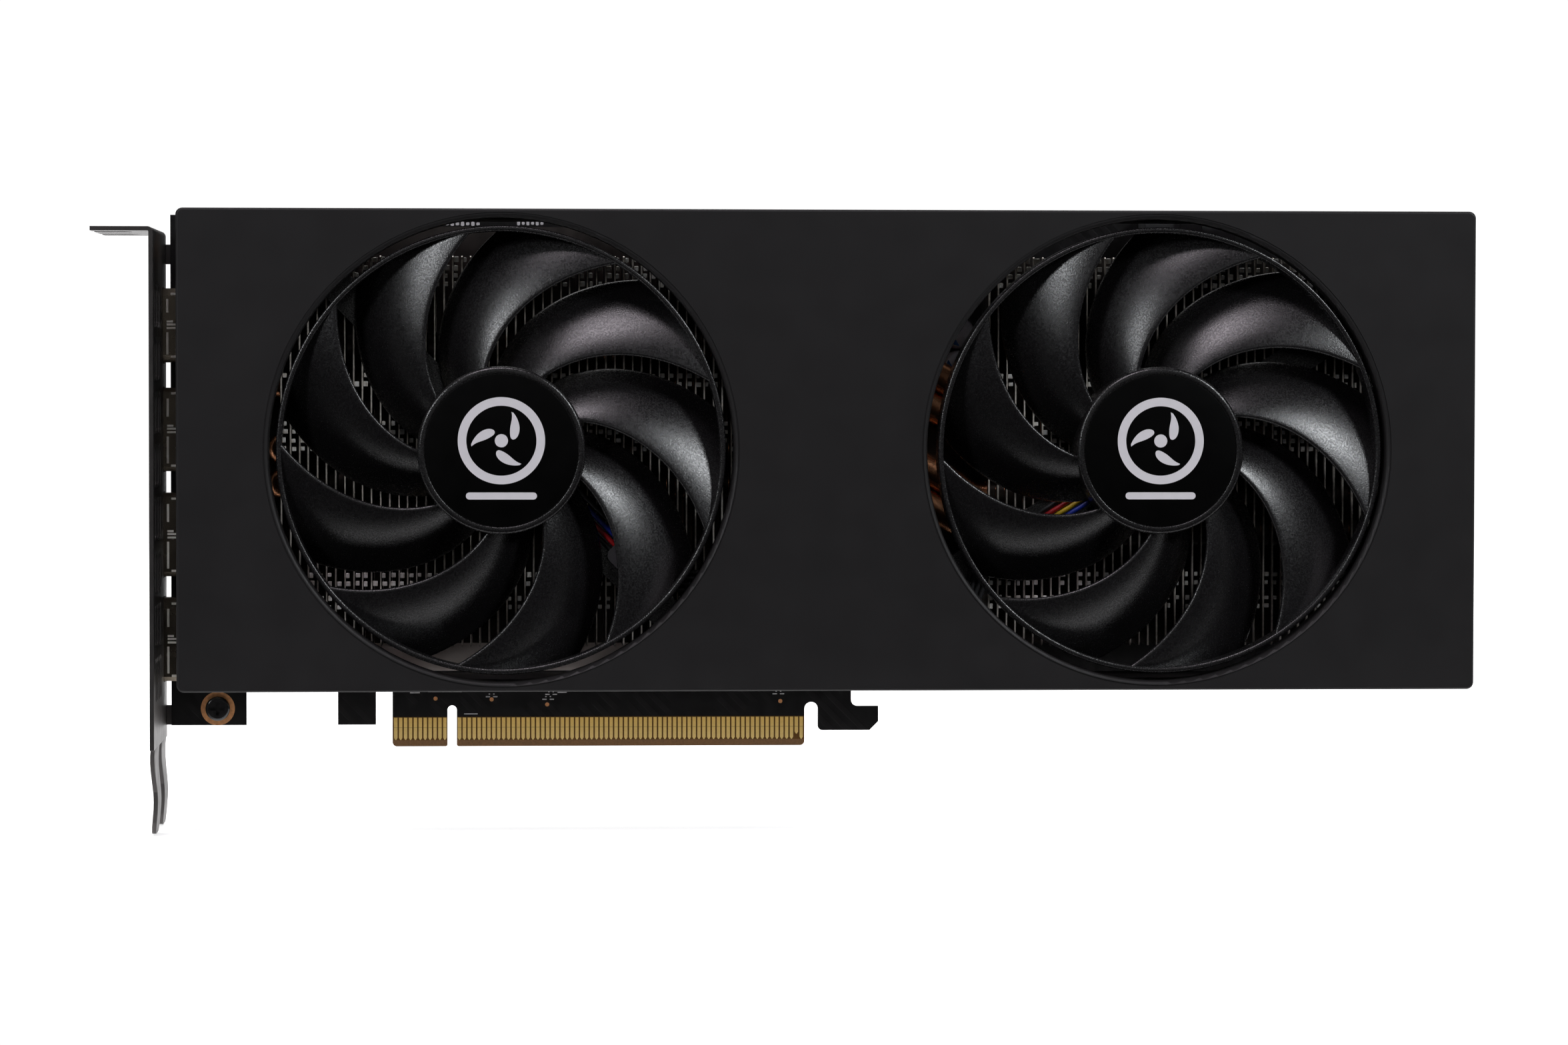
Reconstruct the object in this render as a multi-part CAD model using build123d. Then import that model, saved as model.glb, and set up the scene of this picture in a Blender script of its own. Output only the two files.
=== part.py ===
from build123d import *
import os
from math import cos, pi, sin, radians

# A dual-slot graphics card with two axial fans, as it stands in a slot:
# +Z points away from the gold fingers, +X runs from the bracket to the free end,
# and the fans face -Y. The origin is the card's own datum: the centre line of the
# key slot, at the bottom of the finger board, on the component face of the board.
# "Height" below means distance in front of that face, so height h is at Y = -h.

# --- Driving dimensions, in millimetres ---

# Circuit board
BOARD_T = 1.57
BOARD_LEFT, BOARD_RIGHT = -57.05, 187.0
BOARD_BOTTOM, BOARD_TOP = 12.5, 108.4
TAB_BOTTOM = 4.5
LEFT_TAB_RIGHT = -41.85
MIDDLE_TAB_LEFT, MIDDLE_TAB_RIGHT = -23.25, -15.55
FINGERS_LEFT, FINGERS_RIGHT = -12.15, 72.15
KEY_W, KEY_TOP = 1.9, 8.4
RETENTION_W, RETENTION_TOP = 2.8, 8.9
HOOK_LEFT, HOOK_RIGHT = 74.95, 87.35
HOOK_BOTTOM, HOOK_TAIL_TOP = 3.1, 8.0
HOOK_NECK_RIGHT = 81.75
BEVEL_H, BEVEL_DEPTH = 1.3, 0.35

# Edge contacts
CONTACT_PITCH = 1.0
CONTACT_W = 0.7
CONTACT_T = 0.05
CONTACT_BOTTOM, CONTACT_TOP = 1.35, 5.9
SHORT_CONTACT_BOTTOM = 2.4
SHORT_CONTACT_X = 70.5
LEFT_CONTACTS, RIGHT_CONTACTS = 11, 71
FIRST_CONTACT_X = 1.5

# Bracket
SHEET_T = 0.86
BRACKET_X = -59.05
BRACKET_FRONT_H, BRACKET_BACK_H = 35.0, -3.74
BRACKET_TOP, BRACKET_SHOULDER = 105.08, 2.0
TONGUE_BOTTOM = -14.94
TONGUE_W = 10.19
TONGUE_ROOT_W = 13.4
TONGUE_CENTRES_H = (5.5, 25.8)
FLANGE_LEFT = -70.48
FLANGE_BEND_R = 1.1
FLANGE_SCREW_X = -64.9
FLANGE_SCREWS_H = (5.5, 25.8)
FLANGE_SLOT_R = 2.2
EAR_Z = (100.4, 6.5)
EAR_H = 4.0
EAR_RIGHT = -42.5
EAR_SCREW_X = -47.65
EAR_SCREWS_Z = (100.4, 7.9)

# Display sockets: centre height up the bracket, width along Z, depth along Y
SOCKET_BASE_H = 0.25
SOCKET_LEFT, SOCKET_RIGHT = -58.75, -46.0
SOCKET_WALL = 0.4
HDMI_Z, HDMI_W, HDMI_D = 85.9, 15.0, 6.0
DISPLAY_Z = (64.85, 43.55, 22.3)
DISPLAY_W, DISPLAY_D = 16.9, 5.6

# Shroud
SHROUD_LEFT, SHROUD_RIGHT = -53.75, 203.65
SHROUD_BOTTOM, SHROUD_TOP = 13.54, 108.74
SHROUD_FRONT_H = 36.0
SHROUD_WALL = 2.0
WALL_BACK_H = {"top": 15.0, "bottom": 7.0, "left": 15.0, "right": 5.0}
LIP_R, LIP_WALL, LIP_BACK_H = 45.8, 1.5, 30.5
LIP_FILLET, LIP_GROOVE_W, LIP_GROOVE_DEPTH = 0.8, 0.3, 0.15
SHROUD_CORNER_R, SHROUD_EDGE_R = 1.4, 0.5
BOSS_R, PILOT_R = 2.6, 1.0
BOSSES = ((-39.5, 20.0), (-39.5, 102.0), (97.5, 18.6), (97.5, 103.8), (199.0, 20.0), (199.0, 102.0))

# Fans
# The fans sit a little off the centres of their openings.
OPENING_X = {"left": 10.1, "right": 139.97}
FAN_X = {"left": 10.0, "right": 140.75}
FAN_Z = 61.14
FAN_TURN = {"left": 0.0, "right": 4.0}
STRUT_ANGLES = {"left": (135, 315), "right": (32, 212)}
BLADES = 9
HUB_R, HUB_WALL = 16.6, 1.2
HUB_FACE_T, HUB_RIM_FILLET = 1.5, 1.0
HUB_FRONT_H, HUB_BACK_H = 35.0, 24.2
RING_R, RING_WALL = 44.3, 1.1
RING_FRONT_H, RING_BACK_H = 34.6, 28.8
BLADE_T = 1.1
BLADE_SPAN = 33.0
LEAD_ROOT_ANGLE = 19.0
LEAD_SWEEP_PER_MM = -1.55
LEAD_ROOT_R = 16.9
LEAD_ROOT_H, LEAD_TIP_H = 33.4, 34.0
TRAIL_H = 24.6
POLES, ARM_W, SHOE_R, COIL_T = 6, 2.6, 12.7, 0.8
CORE_BACK_H, CORE_FRONT_H = 25.0, 30.6
MAGNET_IN_R, YOKE_T = 13.2, 0.8
BOSS_IN_HUB_R, BOSS_IN_HUB_L = 3.6, 1.7
LABEL_R, LABEL_T, LABEL_GAP = 15.1, 0.3, 0.05
SHAFT_R, RUNNING_GAP = 1.5, 0.03
FRAME_BACK_H, FRAME_FRONT_H = 20.4, 22.2
FRAME_EAR_R = 51.5
STRUT_W, FRAME_EAR_W = 6.5, 3.4
FRAME_HUB_R = 16.2
BEARING_TOP_H = 31.5
SLEEVE_R = 3.2
TUBE_R = 5.2
MOTOR_BOARD_R, MOTOR_BOARD_T = 12.0, 0.8

# Cooler
FIN_PITCH, FIN_T = 1.8, 0.4
FIN_BACK_H, FIN_FRONT_H = 5.0, 19.0
FIN_BOTTOM, FIN_TOP = 21.5, 99.8
FIN_STACKS = {"left": (-34.0, 87.0), "right": (108.0, 195.5)}
PIPE_R = 3.0
PIPE_FIT = 0.05
PIPE_LEFT_H, PIPE_RIGHT_H = 8.4, 13.5
PIPES_LEFT_Z = (81.2, 74.2, 61.0, 54.0)
PIPE_DROP = 9.3
PIPE_ENDS = (-37.0, 191.0)
BASE_PLATE = (-19.0, 77.0, 15.8, 106.0)
BASE_BACK_H = 2.7
CHIP_X, CHIP_Z = 39.0, 62.0
COLD_PLATE = 44.0

# Back plate and power
BACK_PLATE_H, BACK_PLATE_T = -2.9, 1.3
BACK_WINDOW = 62.0
SOCKET_X, SOCKET_W, SOCKET_D, SOCKET_L = 150.0, 18.6, 10.2, 14.0
SOCKET_NOTCH_H, SOCKET_NOTCH_Z = 13.2, 93.4


# --- Shapes that repeat ---

def block(x0, x1, back_h, front_h, z0, z1):
    """A box between two heights in front of the board."""
    size = (x1 - x0, front_h - back_h, z1 - z0)
    centre = ((x0 + x1) / 2, -(back_h + front_h) / 2, (z0 + z1) / 2)
    return Pos(*centre) * Box(*size)


def post(x, z, r, back_h, front_h):
    """A round post standing off the board, along Y."""
    turned = Rot(90, 0, 0) * Cylinder(r, front_h - back_h)
    return Pos(x, -(back_h + front_h) / 2, z) * turned


def pipe_x(z, h, r, x0, x1):
    """A round bar along X."""
    return Pos((x0 + x1) / 2, -h, z) * Rot(0, 90, 0) * Cylinder(r, x1 - x0)


def slab(profile, back_h, front_h):
    """An outline drawn in X and Z, made solid between two heights."""
    return extrude(Plane.XZ.offset(back_h) * profile, front_h - back_h)


def tube(x, z, outer_r, inner_r, back_h, front_h):
    return post(x, z, outer_r, back_h, front_h) - post(x, z, inner_r, back_h - 1, front_h + 1)


def group(solids):
    """Separate solids that share one node."""
    return Compound(children=list(solids))


def screw(x, z, head_r, head_h, shank_r, head_at_h, tip_h):
    """A pan-head screw along Y with a cross recess. The head sits on height head_at_h."""
    facing = 1 if head_at_h > tip_h else -1
    far = head_at_h + facing * head_h
    head = post(x, z, head_r, min(head_at_h, far), max(head_at_h, far))
    rim = head.faces().sort_by(Axis.Y)[0 if facing > 0 else -1].edges()
    head = fillet(rim, head_h * 0.45)
    recess_w, recess_l = head_r * 0.28, head_r * 1.1
    floor = far - facing * head_h * 0.55
    low, high = min(floor, far + facing), max(floor, far + facing)
    for wide, tall in ((recess_w, recess_l), (recess_l, recess_w)):
        head -= block(x - wide / 2, x + wide / 2, low, high, z - tall / 2, z + tall / 2)
    shank = post(x, z, shank_r, min(head_at_h, tip_h), max(head_at_h, tip_h))
    return head + shank


parts = {}


# --- Circuit board ---

def rectangle(x0, x1, z0, z1):
    return Pos((x0 + x1) / 2, (z0 + z1) / 2) * Rectangle(x1 - x0, z1 - z0)


def corner_fillet(face, points, radius):
    chosen = [v for v in face.vertices() if any((v.X - x) ** 2 + (v.Y - z) ** 2 < 1e-4 for x, z in points)]
    return fillet(chosen, radius)


def corner_chamfer(face, points, length):
    chosen = [v for v in face.vertices() if any((v.X - x) ** 2 + (v.Y - z) ** 2 < 1e-4 for x, z in points)]
    return chamfer(chosen, length)


def round_slot(centre_x, width, top, bottom):
    """An upward slot with a full-radius end."""
    r = width / 2
    return rectangle(centre_x - r, centre_x + r, bottom, top - r) + Pos(centre_x, top - r) * Circle(r)


board = rectangle(BOARD_LEFT, BOARD_RIGHT, BOARD_BOTTOM, BOARD_TOP)
board += rectangle(BOARD_LEFT, LEFT_TAB_RIGHT, TAB_BOTTOM, BOARD_BOTTOM)
board += rectangle(MIDDLE_TAB_LEFT, MIDDLE_TAB_RIGHT, TAB_BOTTOM, BOARD_BOTTOM)
board += rectangle(FINGERS_LEFT, HOOK_NECK_RIGHT, 0, BOARD_BOTTOM)
board += rectangle(HOOK_NECK_RIGHT, HOOK_RIGHT, HOOK_BOTTOM, HOOK_TAIL_TOP)
board -= rectangle(FINGERS_RIGHT, HOOK_NECK_RIGHT, 0, HOOK_BOTTOM)
board -= round_slot((FINGERS_RIGHT + HOOK_LEFT) / 2, RETENTION_W, RETENTION_TOP, -1)
board -= round_slot(0, KEY_W, KEY_TOP, -1)
board = corner_fillet(board, [(FINGERS_LEFT, 0), (FINGERS_RIGHT, 0), (HOOK_LEFT, HOOK_BOTTOM)], 0.9)
board = corner_fillet(board, [(-KEY_W / 2, 0), (KEY_W / 2, 0)], 0.4)
board = corner_fillet(board, [(HOOK_NECK_RIGHT, HOOK_TAIL_TOP)], 1.4)
board = corner_chamfer(board, [(HOOK_RIGHT, HOOK_BOTTOM)], 1.8)
board = slab(board, -BOARD_T, 0)
for face_h, step in ((0, -BEVEL_DEPTH), (-BOARD_T, BEVEL_DEPTH)):
    corners = ((-face_h, 0), (-face_h - step, 0), (-face_h, BEVEL_H))
    wedge = extrude(Plane.YZ * make_face(Polyline(*corners, close=True)), HOOK_NECK_RIGHT - FINGERS_LEFT)
    board -= Pos(FINGERS_LEFT, 0, 0) * wedge
for x, z in BOSSES:
    if x < BOARD_RIGHT:
        board -= post(x, z, 1.4, -BOARD_T - 1, 1)
for z in EAR_SCREWS_Z:
    board -= post(EAR_SCREW_X, z, 1.35, -BOARD_T - 1, 1)
COLD_SCREWS = [(CHIP_X + sx * 26.0, CHIP_Z + sz * 26.0) for sx in (-1, 1) for sz in (-1, 1)]
for x, z in COLD_SCREWS:
    board -= post(x, z, 1.6, -BOARD_T - 1, 1)
parts["circuit_board"] = board

# Contacts lie on both faces of the finger board, with one short sense contact.
contacts = []
left_row = [-FIRST_CONTACT_X - CONTACT_PITCH * i for i in range(LEFT_CONTACTS)]
right_row = [FIRST_CONTACT_X + CONTACT_PITCH * i for i in range(RIGHT_CONTACTS)]
for x in left_row + right_row:
    bottom = SHORT_CONTACT_BOTTOM if abs(x - SHORT_CONTACT_X) < 0.1 else CONTACT_BOTTOM
    for back_h in (0, -BOARD_T - CONTACT_T):
        contacts.append(block(x - CONTACT_W / 2, x + CONTACT_W / 2, back_h, back_h + CONTACT_T,
                              bottom, CONTACT_TOP))
parts["edge_contacts"] = group(contacts)


# --- Mounting bracket: one bent sheet with two ears behind the board ---

plate = block(BRACKET_X, BRACKET_X + SHEET_T, BRACKET_BACK_H, BRACKET_FRONT_H, BRACKET_SHOULDER, BRACKET_TOP)
flange = block(FLANGE_LEFT, BRACKET_X + SHEET_T, BRACKET_BACK_H, BRACKET_FRONT_H,
               BRACKET_TOP - SHEET_T, BRACKET_TOP)
bracket = plate + flange
bend_edge = [e for e in bracket.edges() if abs(e.center().X - BRACKET_X - SHEET_T) < 0.01
             and abs(e.center().Z - BRACKET_TOP) < 0.01]
bracket = fillet(bend_edge, FLANGE_BEND_R)
inner_edge = [e for e in bracket.edges() if abs(e.center().X - BRACKET_X) < 0.01
              and abs(e.center().Z - BRACKET_TOP + SHEET_T) < 0.01]
bracket = fillet(inner_edge, FLANGE_BEND_R - SHEET_T)

# Each tongue is slightly S-shaped in side view and tapers from a wide root.
outer_side = Spline((0, BRACKET_SHOULDER), (-0.12, -1.5), (0.45, -8.5), (0.2, -12.5), (0, TONGUE_BOTTOM))
inner_side = Pos(SHEET_T, 0) * outer_side
tongue_profile = make_face([outer_side, Line(outer_side @ 1, inner_side @ 1), inner_side,
                            Line(inner_side @ 0, outer_side @ 0)])
for centre_h in TONGUE_CENTRES_H:
    tip, root = TONGUE_W / 2, TONGUE_ROOT_W / 2
    outline = make_face(Polyline((centre_h - root, BRACKET_SHOULDER), (centre_h - tip, -6.5),
                                 (centre_h - tip, TONGUE_BOTTOM), (centre_h + tip, TONGUE_BOTTOM),
                                 (centre_h + tip, -6.5), (centre_h + root, BRACKET_SHOULDER), close=True))
    outline = corner_fillet(outline, [(centre_h - tip, TONGUE_BOTTOM), (centre_h + tip, TONGUE_BOTTOM)], 2.4)
    sheet = Pos(BRACKET_X, 0, 0) * slab(tongue_profile, centre_h - root, centre_h + root)
    # the outline is drawn with height to the right, so it is mirrored onto -Y
    cutter = Pos(BRACKET_X - 3, 0, 0) * extrude(mirror(Plane.YZ * outline, Plane.XZ), 6)
    bracket += sheet & cutter
for screw_h in FLANGE_SCREWS_H:
    bracket -= Pos(FLANGE_SCREW_X, -screw_h, BRACKET_TOP) * Cylinder(FLANGE_SLOT_R, 4)
    bracket -= block(FLANGE_LEFT - 1, FLANGE_SCREW_X, screw_h - FLANGE_SLOT_R, screw_h + FLANGE_SLOT_R,
                     BRACKET_TOP - 2, BRACKET_TOP + 2)
bracket -= block(FLANGE_LEFT - 1, FLANGE_SCREW_X + 1.2, 14.9, 16.4, BRACKET_TOP - 2, BRACKET_TOP + 2)

# Socket windows in the first slot, vent slots in the second.
WINDOW_GAP = 0.25
socket_rows = [(HDMI_Z, HDMI_W, HDMI_D)] + [(z, DISPLAY_W, DISPLAY_D) for z in DISPLAY_Z]
for z, width, depth in socket_rows:
    half = width / 2 + WINDOW_GAP
    bracket -= block(BRACKET_X - 1, BRACKET_X + 2, SOCKET_BASE_H - WINDOW_GAP,
                     SOCKET_BASE_H + depth + WINDOW_GAP, z - half, z + half)
VENT_W, VENT_L = 3.0, 8.6
VENT_COLUMNS_H = (14.6, 19.2, 23.8, 28.4)
VENT_ROWS_Z = [15.5 + 10.6 * i for i in range(8)]
vent = extrude(Plane.YZ * (Rectangle(VENT_W, VENT_L - VENT_W) + Pos(0, (VENT_L - VENT_W) / 2) * Circle(VENT_W / 2)
                           + Pos(0, (VENT_W - VENT_L) / 2) * Circle(VENT_W / 2)), 4)
for z in VENT_ROWS_Z:
    for h in VENT_COLUMNS_H:
        bracket -= Pos(BRACKET_X - 1, -h, z) * vent

ear_back_h = -BOARD_T - SHEET_T
for z, screw_z in zip(EAR_Z, EAR_SCREWS_Z):
    bracket += block(BRACKET_X + SHEET_T / 2, EAR_RIGHT, ear_back_h, -BOARD_T, z - EAR_H / 2, z + EAR_H / 2)
    bracket += post(EAR_SCREW_X, screw_z, 3.4, ear_back_h, -BOARD_T)
    bracket -= post(EAR_SCREW_X, screw_z, 1.35, ear_back_h - 1, 0)
parts["mounting_bracket"] = bracket

parts["bracket_screws"] = group(screw(EAR_SCREW_X, z, 2.5, 1.3, 1.25, 0, -2.3) for z in EAR_SCREWS_Z)


# --- Display sockets: metal shells with an insulating tongue inside ---

def socket_shell(z, width, depth, corner):
    """A five-sided shell, open towards the bracket, with two bevelled corners."""
    outline = rectangle(-width / 2, width / 2, 0, depth)
    outline = corner_chamfer(outline, [(-width / 2, depth), (width / 2, depth)], corner)
    hollow = rectangle(-width / 2 + SOCKET_WALL, width / 2 - SOCKET_WALL, SOCKET_WALL, depth - SOCKET_WALL)
    hollow = corner_chamfer(hollow, [(SOCKET_WALL - width / 2, depth - SOCKET_WALL),
                                     (width / 2 - SOCKET_WALL, depth - SOCKET_WALL)], corner)
    across = Plane(origin=(SOCKET_LEFT, -SOCKET_BASE_H, z), x_dir=(0, 0, 1), z_dir=(1, 0, 0))
    outer = extrude(across * outline, SOCKET_RIGHT - SOCKET_LEFT)
    inner = extrude(across * hollow, SOCKET_RIGHT - SOCKET_LEFT - 1.0)
    return outer - inner


def socket_tongue(z, width, depth):
    mid_h = SOCKET_BASE_H + depth / 2
    back = block(SOCKET_RIGHT - 2.2, SOCKET_RIGHT - 1.0, mid_h - depth / 2 + 0.5, mid_h + depth / 2 - 0.5,
                 z - width / 2 + 1.9, z + width / 2 - 1.9)
    blade = block(SOCKET_LEFT + 1.5, SOCKET_RIGHT - 2.2, mid_h - 0.7, mid_h + 0.7,
                  z - width / 2 + 2.4, z + width / 2 - 2.4)
    return back + blade


parts["hdmi_socket"] = socket_shell(HDMI_Z, HDMI_W, HDMI_D, 1.5)
for number, z in enumerate(DISPLAY_Z, start=1):
    parts[f"display_socket_{number}"] = socket_shell(z, DISPLAY_W, DISPLAY_D, 0.9)
parts["socket_tongues"] = group(socket_tongue(*row) for row in socket_rows)


# --- Shroud ---

front_back_h = SHROUD_FRONT_H - SHROUD_WALL
outline = rectangle(SHROUD_LEFT, SHROUD_RIGHT, SHROUD_BOTTOM, SHROUD_TOP)
outline = fillet(outline.vertices(), SHROUD_CORNER_R)
shroud = slab(outline, WALL_BACK_H["right"], SHROUD_FRONT_H)
shroud = fillet(shroud.faces().sort_by(Axis.Y)[0].edges(), SHROUD_EDGE_R)
inner = rectangle(SHROUD_LEFT + SHROUD_WALL, SHROUD_RIGHT - SHROUD_WALL,
                  SHROUD_BOTTOM + SHROUD_WALL, SHROUD_TOP - SHROUD_WALL)
shroud -= slab(inner, 0, front_back_h)
far_left, far_right = SHROUD_LEFT - 1, SHROUD_RIGHT - SHROUD_WALL
shroud -= block(far_left, far_right, 0, WALL_BACK_H["top"], SHROUD_TOP - 3, SHROUD_TOP + 1)
shroud -= block(far_left, far_right, 0, WALL_BACK_H["bottom"], SHROUD_BOTTOM - 1, SHROUD_BOTTOM + 3)
shroud -= block(far_left, SHROUD_LEFT + 3, 0, WALL_BACK_H["left"], SHROUD_BOTTOM - 1, SHROUD_TOP + 1)
for x in OPENING_X.values():
    shroud -= post(x, FAN_Z, LIP_R, LIP_BACK_H - 1, SHROUD_FRONT_H + 1)
lip_edges = [e for e in shroud.edges().filter_by(GeomType.CIRCLE)
             if abs(e.radius - LIP_R) < 0.01 and abs(e.center().Y + SHROUD_FRONT_H) < 0.01]
shroud = fillet(lip_edges, LIP_FILLET)
groove_r = LIP_R + LIP_FILLET
for x in OPENING_X.values():
    shroud += tube(x, FAN_Z, LIP_R + LIP_WALL, LIP_R, LIP_BACK_H, front_back_h)
    groove_floor_h = SHROUD_FRONT_H - LIP_GROOVE_DEPTH
    shroud -= tube(x, FAN_Z, groove_r + LIP_GROOVE_W, groove_r, groove_floor_h, SHROUD_FRONT_H)
for side, centre_x in FAN_X.items():
    for angle in STRUT_ANGLES[side]:
        x = centre_x + FRAME_EAR_R * cos(radians(angle))
        z = FAN_Z + FRAME_EAR_R * sin(radians(angle))
        shroud += post(x, z, 2.4, FRAME_FRONT_H, front_back_h)
        shroud -= post(x, z, PILOT_R, FRAME_FRONT_H - 1, front_back_h - 1)
for x, z in BOSSES:
    foot_h = 0 if x < BOARD_RIGHT else BACK_PLATE_H
    shroud += post(x, z, BOSS_R, foot_h, front_back_h)
    shroud -= post(x, z, PILOT_R + 0.3, foot_h - 1, foot_h + 8)
parts["shroud"] = shroud


# --- Back plate, standoffs and screws ---

plate_back_h = BACK_PLATE_H - BACK_PLATE_T
outline = rectangle(BOARD_LEFT, SHROUD_RIGHT, SHROUD_BOTTOM + 0.1, SHROUD_TOP - 0.1)
outline = fillet(outline.vertices(), 2.0)
window = Pos(CHIP_X, CHIP_Z) * Rectangle(BACK_WINDOW, BACK_WINDOW)
outline -= fillet(window.vertices(), 3.0)
outline -= Pos(EAR_SCREW_X, EAR_SCREWS_Z[0]) * Circle(3.6)
SLOT_L, SLOT_W, SLOT_GAP = 58.0, 3.2, 7.4
for row in range(6):
    z = FAN_Z + (row - 2.5) * SLOT_GAP
    outline -= Pos(FAN_X["right"] + 22, z) * SlotOverall(SLOT_L, SLOT_W)
back_plate = slab(outline, plate_back_h, BACK_PLATE_H)
for x, z in BOSSES:
    back_plate -= post(x, z, 1.4, plate_back_h - 1, 0)
parts["back_plate"] = back_plate

board_bosses = [b for b in BOSSES if b[0] < BOARD_RIGHT]
parts["standoffs"] = group(tube(x, z, 2.8, 1.4, BACK_PLATE_H, -BOARD_T) for x, z in board_bosses)
parts["shroud_screws"] = group(screw(x, z, 2.3, 0.9, 1.25, plate_back_h, 6.0 if x < BOARD_RIGHT else 3.0)
                               for x, z in BOSSES)


# --- Graphics chip, memory and power stage ---

parts["chip_substrate"] = block(CHIP_X - 17.5, CHIP_X + 17.5, 0, 1.2, CHIP_Z - 17.5, CHIP_Z + 17.5)
parts["chip_die"] = block(CHIP_X - 8.0, CHIP_X + 8.0, 1.2, 2.0, CHIP_Z - 7.0, CHIP_Z + 7.0)
memory_places = [(CHIP_X + sx * 31.0, CHIP_Z + sz * 8.6) for sx in (-1, 1) for sz in (-1, 1)]
memory_places += [(CHIP_X + sx * 8.6, CHIP_Z + sz * 28.5) for sx in (-1, 1) for sz in (-1, 1)]
memory_half = [(6.0, 7.0)] * 4 + [(7.0, 6.0)] * 4
places = list(zip(memory_places, memory_half))
parts["memory_chips"] = group(block(x - a, x + a, 0, 1.1, z - b, z + b) for (x, z), (a, b) in places)
parts["thermal_pads"] = group(block(x - a, x + a, 1.1, BASE_BACK_H, z - b, z + b) for (x, z), (a, b) in places)

POWER_ROWS_Z = [27.0 + 9.6 * i for i in range(8)]
INDUCTOR_X, INDUCTOR_W, INDUCTOR_H = 88.8, 6.6, 4.4
TRANSISTOR_X = 81.0
inductors = []
for z in POWER_ROWS_Z:
    half = INDUCTOR_W / 2
    body = block(INDUCTOR_X - half, INDUCTOR_X + half, 0, INDUCTOR_H, z - half, z + half)
    inductors.append(fillet(body.edges().filter_by(Axis.Y), 0.8))
parts["inductors"] = group(inductors)
parts["power_transistors"] = group(block(TRANSISTOR_X - 2.5, TRANSISTOR_X + 2.5, 0, 1.0, z - 3.0, z + 3.0)
                                   for z in POWER_ROWS_Z)
CAN_X, CAN_R, CAN_H = 103.2, 3.15, 7.6
CAN_ROWS_Z = [98.0 - 6.7 * i for i in range(4)]
parts["capacitors"] = group(post(CAN_X, z, CAN_R, 0.6, CAN_H)
                            + block(CAN_X - 3.2, CAN_X + 3.2, 0, 0.6, z - 3.2, z + 3.2) for z in CAN_ROWS_Z)


# --- Cooler ---

plate_x0, plate_x1, plate_z0, plate_z1 = BASE_PLATE
half = COLD_PLATE / 2
base_plate = block(plate_x0, plate_x1, BASE_BACK_H, FIN_BACK_H, plate_z0, plate_z1)
base_plate -= block(CHIP_X - half - 0.1, CHIP_X + half + 0.1, 0, 9, CHIP_Z - half - 0.1, CHIP_Z + half + 0.1)
for x, z in COLD_SCREWS:
    base_plate -= post(x, z, 1.6, 0, BASE_BACK_H + 2.0)
parts["base_plate"] = base_plate
cold_plate = block(CHIP_X - half, CHIP_X + half, 2.0, FIN_BACK_H, CHIP_Z - half, CHIP_Z + half)
parts["cold_plate"] = cold_plate

for number, left_z in enumerate(PIPES_LEFT_Z, start=1):
    right_z = left_z - PIPE_DROP
    gap_x0, gap_x1 = FIN_STACKS["left"][1], FIN_STACKS["right"][0]
    left = (PIPE_ENDS[0], -PIPE_LEFT_H, left_z)
    low = (gap_x0 + 2.5, -PIPE_LEFT_H, left_z)
    high = (gap_x1 - 2.5, -PIPE_RIGHT_H, right_z)
    right = (PIPE_ENDS[1], -PIPE_RIGHT_H, right_z)
    path = FilletPolyline(left, low, high, right, radius=7.5)
    profile = Plane(origin=left, z_dir=(1, 0, 0)) * Circle(PIPE_R)
    parts[f"heat_pipe_{number}"] = sweep(profile, path=path)

# Every fin is folded at its foot, and the feet meet as one floor soldered to the plates.
for side, (x0, x1) in FIN_STACKS.items():
    floor = block(x0, x1, FIN_BACK_H, FIN_BACK_H + FIN_T, FIN_BOTTOM, FIN_TOP)
    count = int((x1 - x0) / FIN_PITCH)
    fins = [block(x0 + i * FIN_PITCH, x0 + i * FIN_PITCH + FIN_T, FIN_BACK_H, FIN_FRONT_H, FIN_BOTTOM, FIN_TOP)
            for i in range(count + 1)]
    stack = floor.fuse(*fins)
    pipe_h = PIPE_LEFT_H if side == "left" else PIPE_RIGHT_H
    drop = 0 if side == "left" else PIPE_DROP
    for z in PIPES_LEFT_Z:
        stack -= pipe_x(z - drop, pipe_h, PIPE_R + PIPE_FIT, x0 - 1, x1 + 1)
    if side == "right":
        stack -= block(SOCKET_X - 10.5, SOCKET_X + 10.5, 0, SOCKET_NOTCH_H, SOCKET_NOTCH_Z, FIN_TOP + 1)
    parts[f"fin_stack_{side}"] = stack

# The cooler is pulled onto the chip by a sprung cross on the back of the board.
arm = Rectangle(80, 9)
cross = Rot(0, 0, 45) * arm + Rot(0, 0, -45) * arm
cross = fillet(cross.vertices(), 2.0) + Circle(11)
for x, z in COLD_SCREWS:
    cross -= Pos(x - CHIP_X, z - CHIP_Z) * Circle(1.6)
cross_back_h = -BOARD_T - 1.4
parts["retention_cross"] = slab(Pos(CHIP_X, CHIP_Z) * cross, cross_back_h, -BOARD_T - 0.2)
parts["insulating_sheet"] = slab(Pos(CHIP_X, CHIP_Z) * Circle(10.5), -BOARD_T - 0.2, -BOARD_T)
parts["retention_springs"] = group(tube(x, z, 2.9, 2.0, cross_back_h - 1.6, cross_back_h) for x, z in COLD_SCREWS)
parts["retention_screws"] = group(screw(x, z, 2.9, 0.9, 1.5, cross_back_h - 1.6, BASE_BACK_H + 1.9)
                                  for x, z in COLD_SCREWS)


# --- Power socket on the top edge ---

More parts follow.
